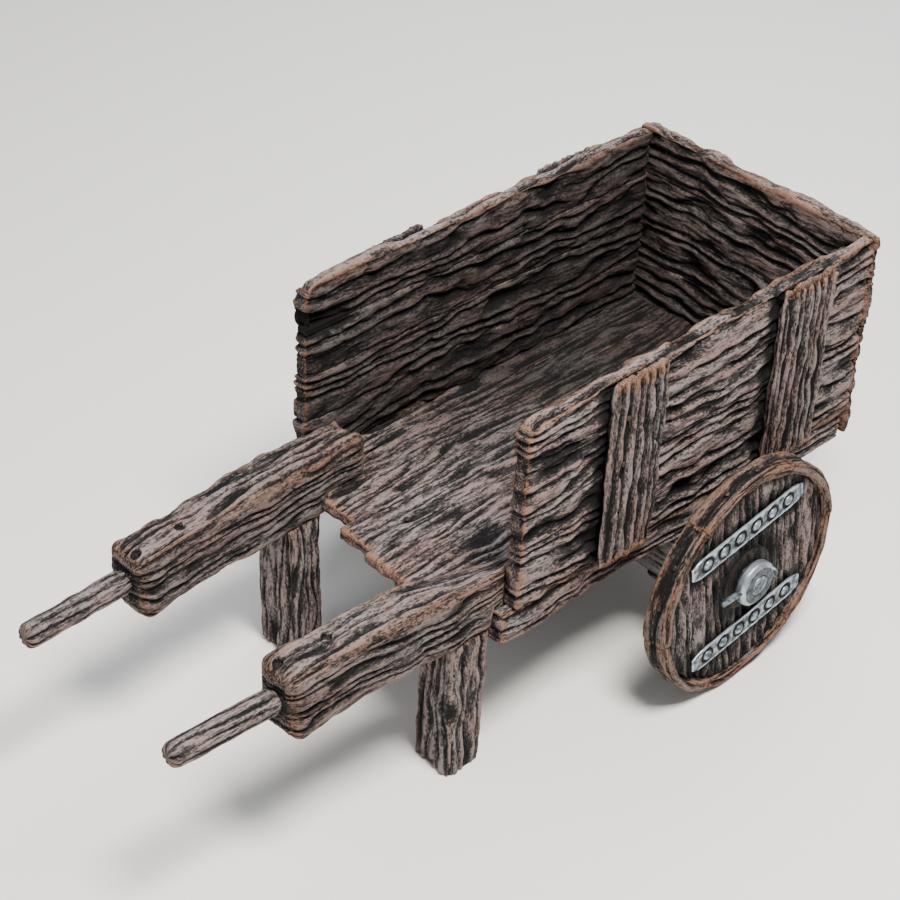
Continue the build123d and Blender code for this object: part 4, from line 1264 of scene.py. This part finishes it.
def bored(points, step, steps):
    """A ring spun about Z from the corners (height, radius) of a closed outline."""
    bm = bmesh.new()
    verts = [bm.verts.new((0, r, z)) for z, r in fill_outline(points, step)]
    edges = [bm.edges.new(pair) for pair in zip(verts, verts[1:] + verts[:1])]
    spin_round(bm, verts, edges, (0, 0, 1), steps)
    return bm


# %% Naves
for side in SIDE:
    outline = [(NAVE_BACK, NAVE_BORE), (NAVE_BACK, NAVE_RADIUS - 0.008), (NAVE_BACK + 0.008, NAVE_RADIUS),
               (NAVE_FACE - 0.002, NAVE_RADIUS), (NAVE_FACE, NAVE_RADIUS - 0.002), (NAVE_FACE, NAVE_BORE)]
    piece = new_piece(f"{side}_nave_boss", bored(outline, 0.004, 64))
    carve(piece, "y", 640 + len(side), pitch=0.016, depth=0.003, swell=0.0008, end_depth=0.002)
    stand_wheel(piece, side)
    # The nave's nearly black oak also paints the shade round the hub.
    hand_over(piece, f"{side}_nave", dark_oak)
print("naves done")

# %% [markdown]
# ## Collars and linchpins
# A collar has a broad chamfer, which carries a painted highlight with its rim, and the rest of it is painted a
# little darker. A linchpin is a bar with a thicker head.
# The frame holds both collars as one node, and both pins as another, so each pair is joined.

# %% Collars and linchpins
COLLAR_OUTLINE = [
    (COLLAR_BACK, COLLAR_BORE), (COLLAR_BACK, COLLAR_RADIUS - 0.003), (COLLAR_BACK + 0.003, COLLAR_RADIUS),
    (COLLAR_FACE - 0.007, COLLAR_RADIUS), (COLLAR_FACE, COLLAR_RADIUS - 0.009),
    (COLLAR_FACE, COLLAR_BORE + 0.002), (COLLAR_FACE - 0.002, COLLAR_BORE),
]
PIN_LOW, PIN_HIGH = (corner.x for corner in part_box("linchpins"))
PIN_OUTLINE = [(PIN_LOW, 0.0), (PIN_LOW, PIN_RADIUS * 0.55), (PIN_LOW + 0.004, PIN_RADIUS)]
PIN_OUTLINE += [(PIN_LOW + 0.004 + (PIN_HIGH - 0.012 - PIN_LOW) * n / 24, PIN_RADIUS) for n in range(1, 24)]
PIN_OUTLINE += [
    (PIN_HIGH - 0.008, PIN_RADIUS), (PIN_HIGH - 0.0075, PIN_HEAD - 0.002), (PIN_HIGH - 0.005, PIN_HEAD),
    (PIN_HIGH - 0.002, PIN_HEAD - 0.001), (PIN_HIGH, PIN_HEAD - 0.004), (PIN_HIGH, 0.0),
]
collars, pins = [], []
for side, sign in SIDE.items():
    collar = new_piece("collar", bored(COLLAR_OUTLINE, 0.003, 72))
    # A painted highlight on the collar's chamfer and rim, and the rest a little darker.
    hammer(collar, 960, patchy=0.06,
           painted_highlight=lambda co, normal: 0.35 * (np.hypot(co[:, 0], co[:, 1]) > COLLAR_RADIUS - 0.0085) - 0.12)
    stand_wheel(collar, side)
    collars.append(collar)
    pin = turned(PIN_OUTLINE, 24)
    bmesh.ops.translate(pin, vec=(0, sign * (COLLAR_BACK + COLLAR_FACE) / 2, WHEEL_RADIUS), verts=pin.verts)
    pins.append(new_piece("linchpin", pin))
    hammer(pins[-1], 970, dent=0.0004)
for node, pieces in (("axle_collars", collars), ("linchpins", pins)):
    hand_over(join_pieces(f"{node}_forged", pieces), node, bright_iron)
print("hubs done")

# %% [markdown]
# ## Small fastenings
# Nails, screws, pegs, washers, bushes and the axle have the right shapes in the frame already, but their edges
# are knife sharp. A copy of each is merged, its flat triangles are joined up, and its sharp edges are beveled
# by 1.5 mm at most, which is what gives a small iron thing its glint.


# %% Fastenings with eased edges
def eased_copy(node, ease, material, seed):
    """A copy of a frame node with its sharp edges beveled, and the attributes that the finishes read."""
    bm = bmesh.new()
    bm.from_mesh(frame["nodes"][node].data)
    bmesh.ops.remove_doubles(bm, verts=bm.verts, dist=1e-5)
    bmesh.ops.dissolve_limit(bm, angle_limit=0.02, verts=bm.verts, edges=bm.edges)
    sharp = [e for e in bm.edges if len(e.link_faces) == 2 and e.calc_face_angle() > 0.6]
    bmesh.ops.bevel(bm, geom=sharp, offset=ease, offset_type="OFFSET", segments=1, profile=0.5, affect="EDGES",
                    material=-1, clamp_overlap=True)
    piece = new_piece(f"{node}_eased", bm)
    co, normal = read_points(piece.data)
    mottle = noise(co[:, 0] / 0.012 + co[:, 2] / 0.013, co[:, 1] / 0.012, seed)
    store(piece.data, "relief", 0.85 + 0.3 * mottle)
    store(piece.data, "wear", np.zeros(len(co)))
    store(piece.data, "dirt_and_shade", np.zeros(len(co)))
    store_grain(piece.data, co[:, [2, 0, 1]])
    hand_over(piece, node, material)
    print(node, len(piece.data.polygons), "faces")


for number, (node, ease, material) in enumerate((
    ("board_nails", 0.0005, rusty_iron), ("left_felloe_nails", 0.0005, rusty_iron),
    ("right_felloe_nails", 0.0005, rusty_iron), ("coach_screws", 0.0010, rusty_iron),
    ("screw_washers", 0.0006, rusty_iron), ("oak_pegs", 0.0010, dark_oak), ("axle", 0.0015, bright_iron),
    ("thrust_washers", 0.0006, dark_iron), ("left_hub_bush", 0.0006, dark_iron),
    ("right_hub_bush", 0.0006, dark_iron),
)):
    eased_copy(node, ease, material, 980 + number)
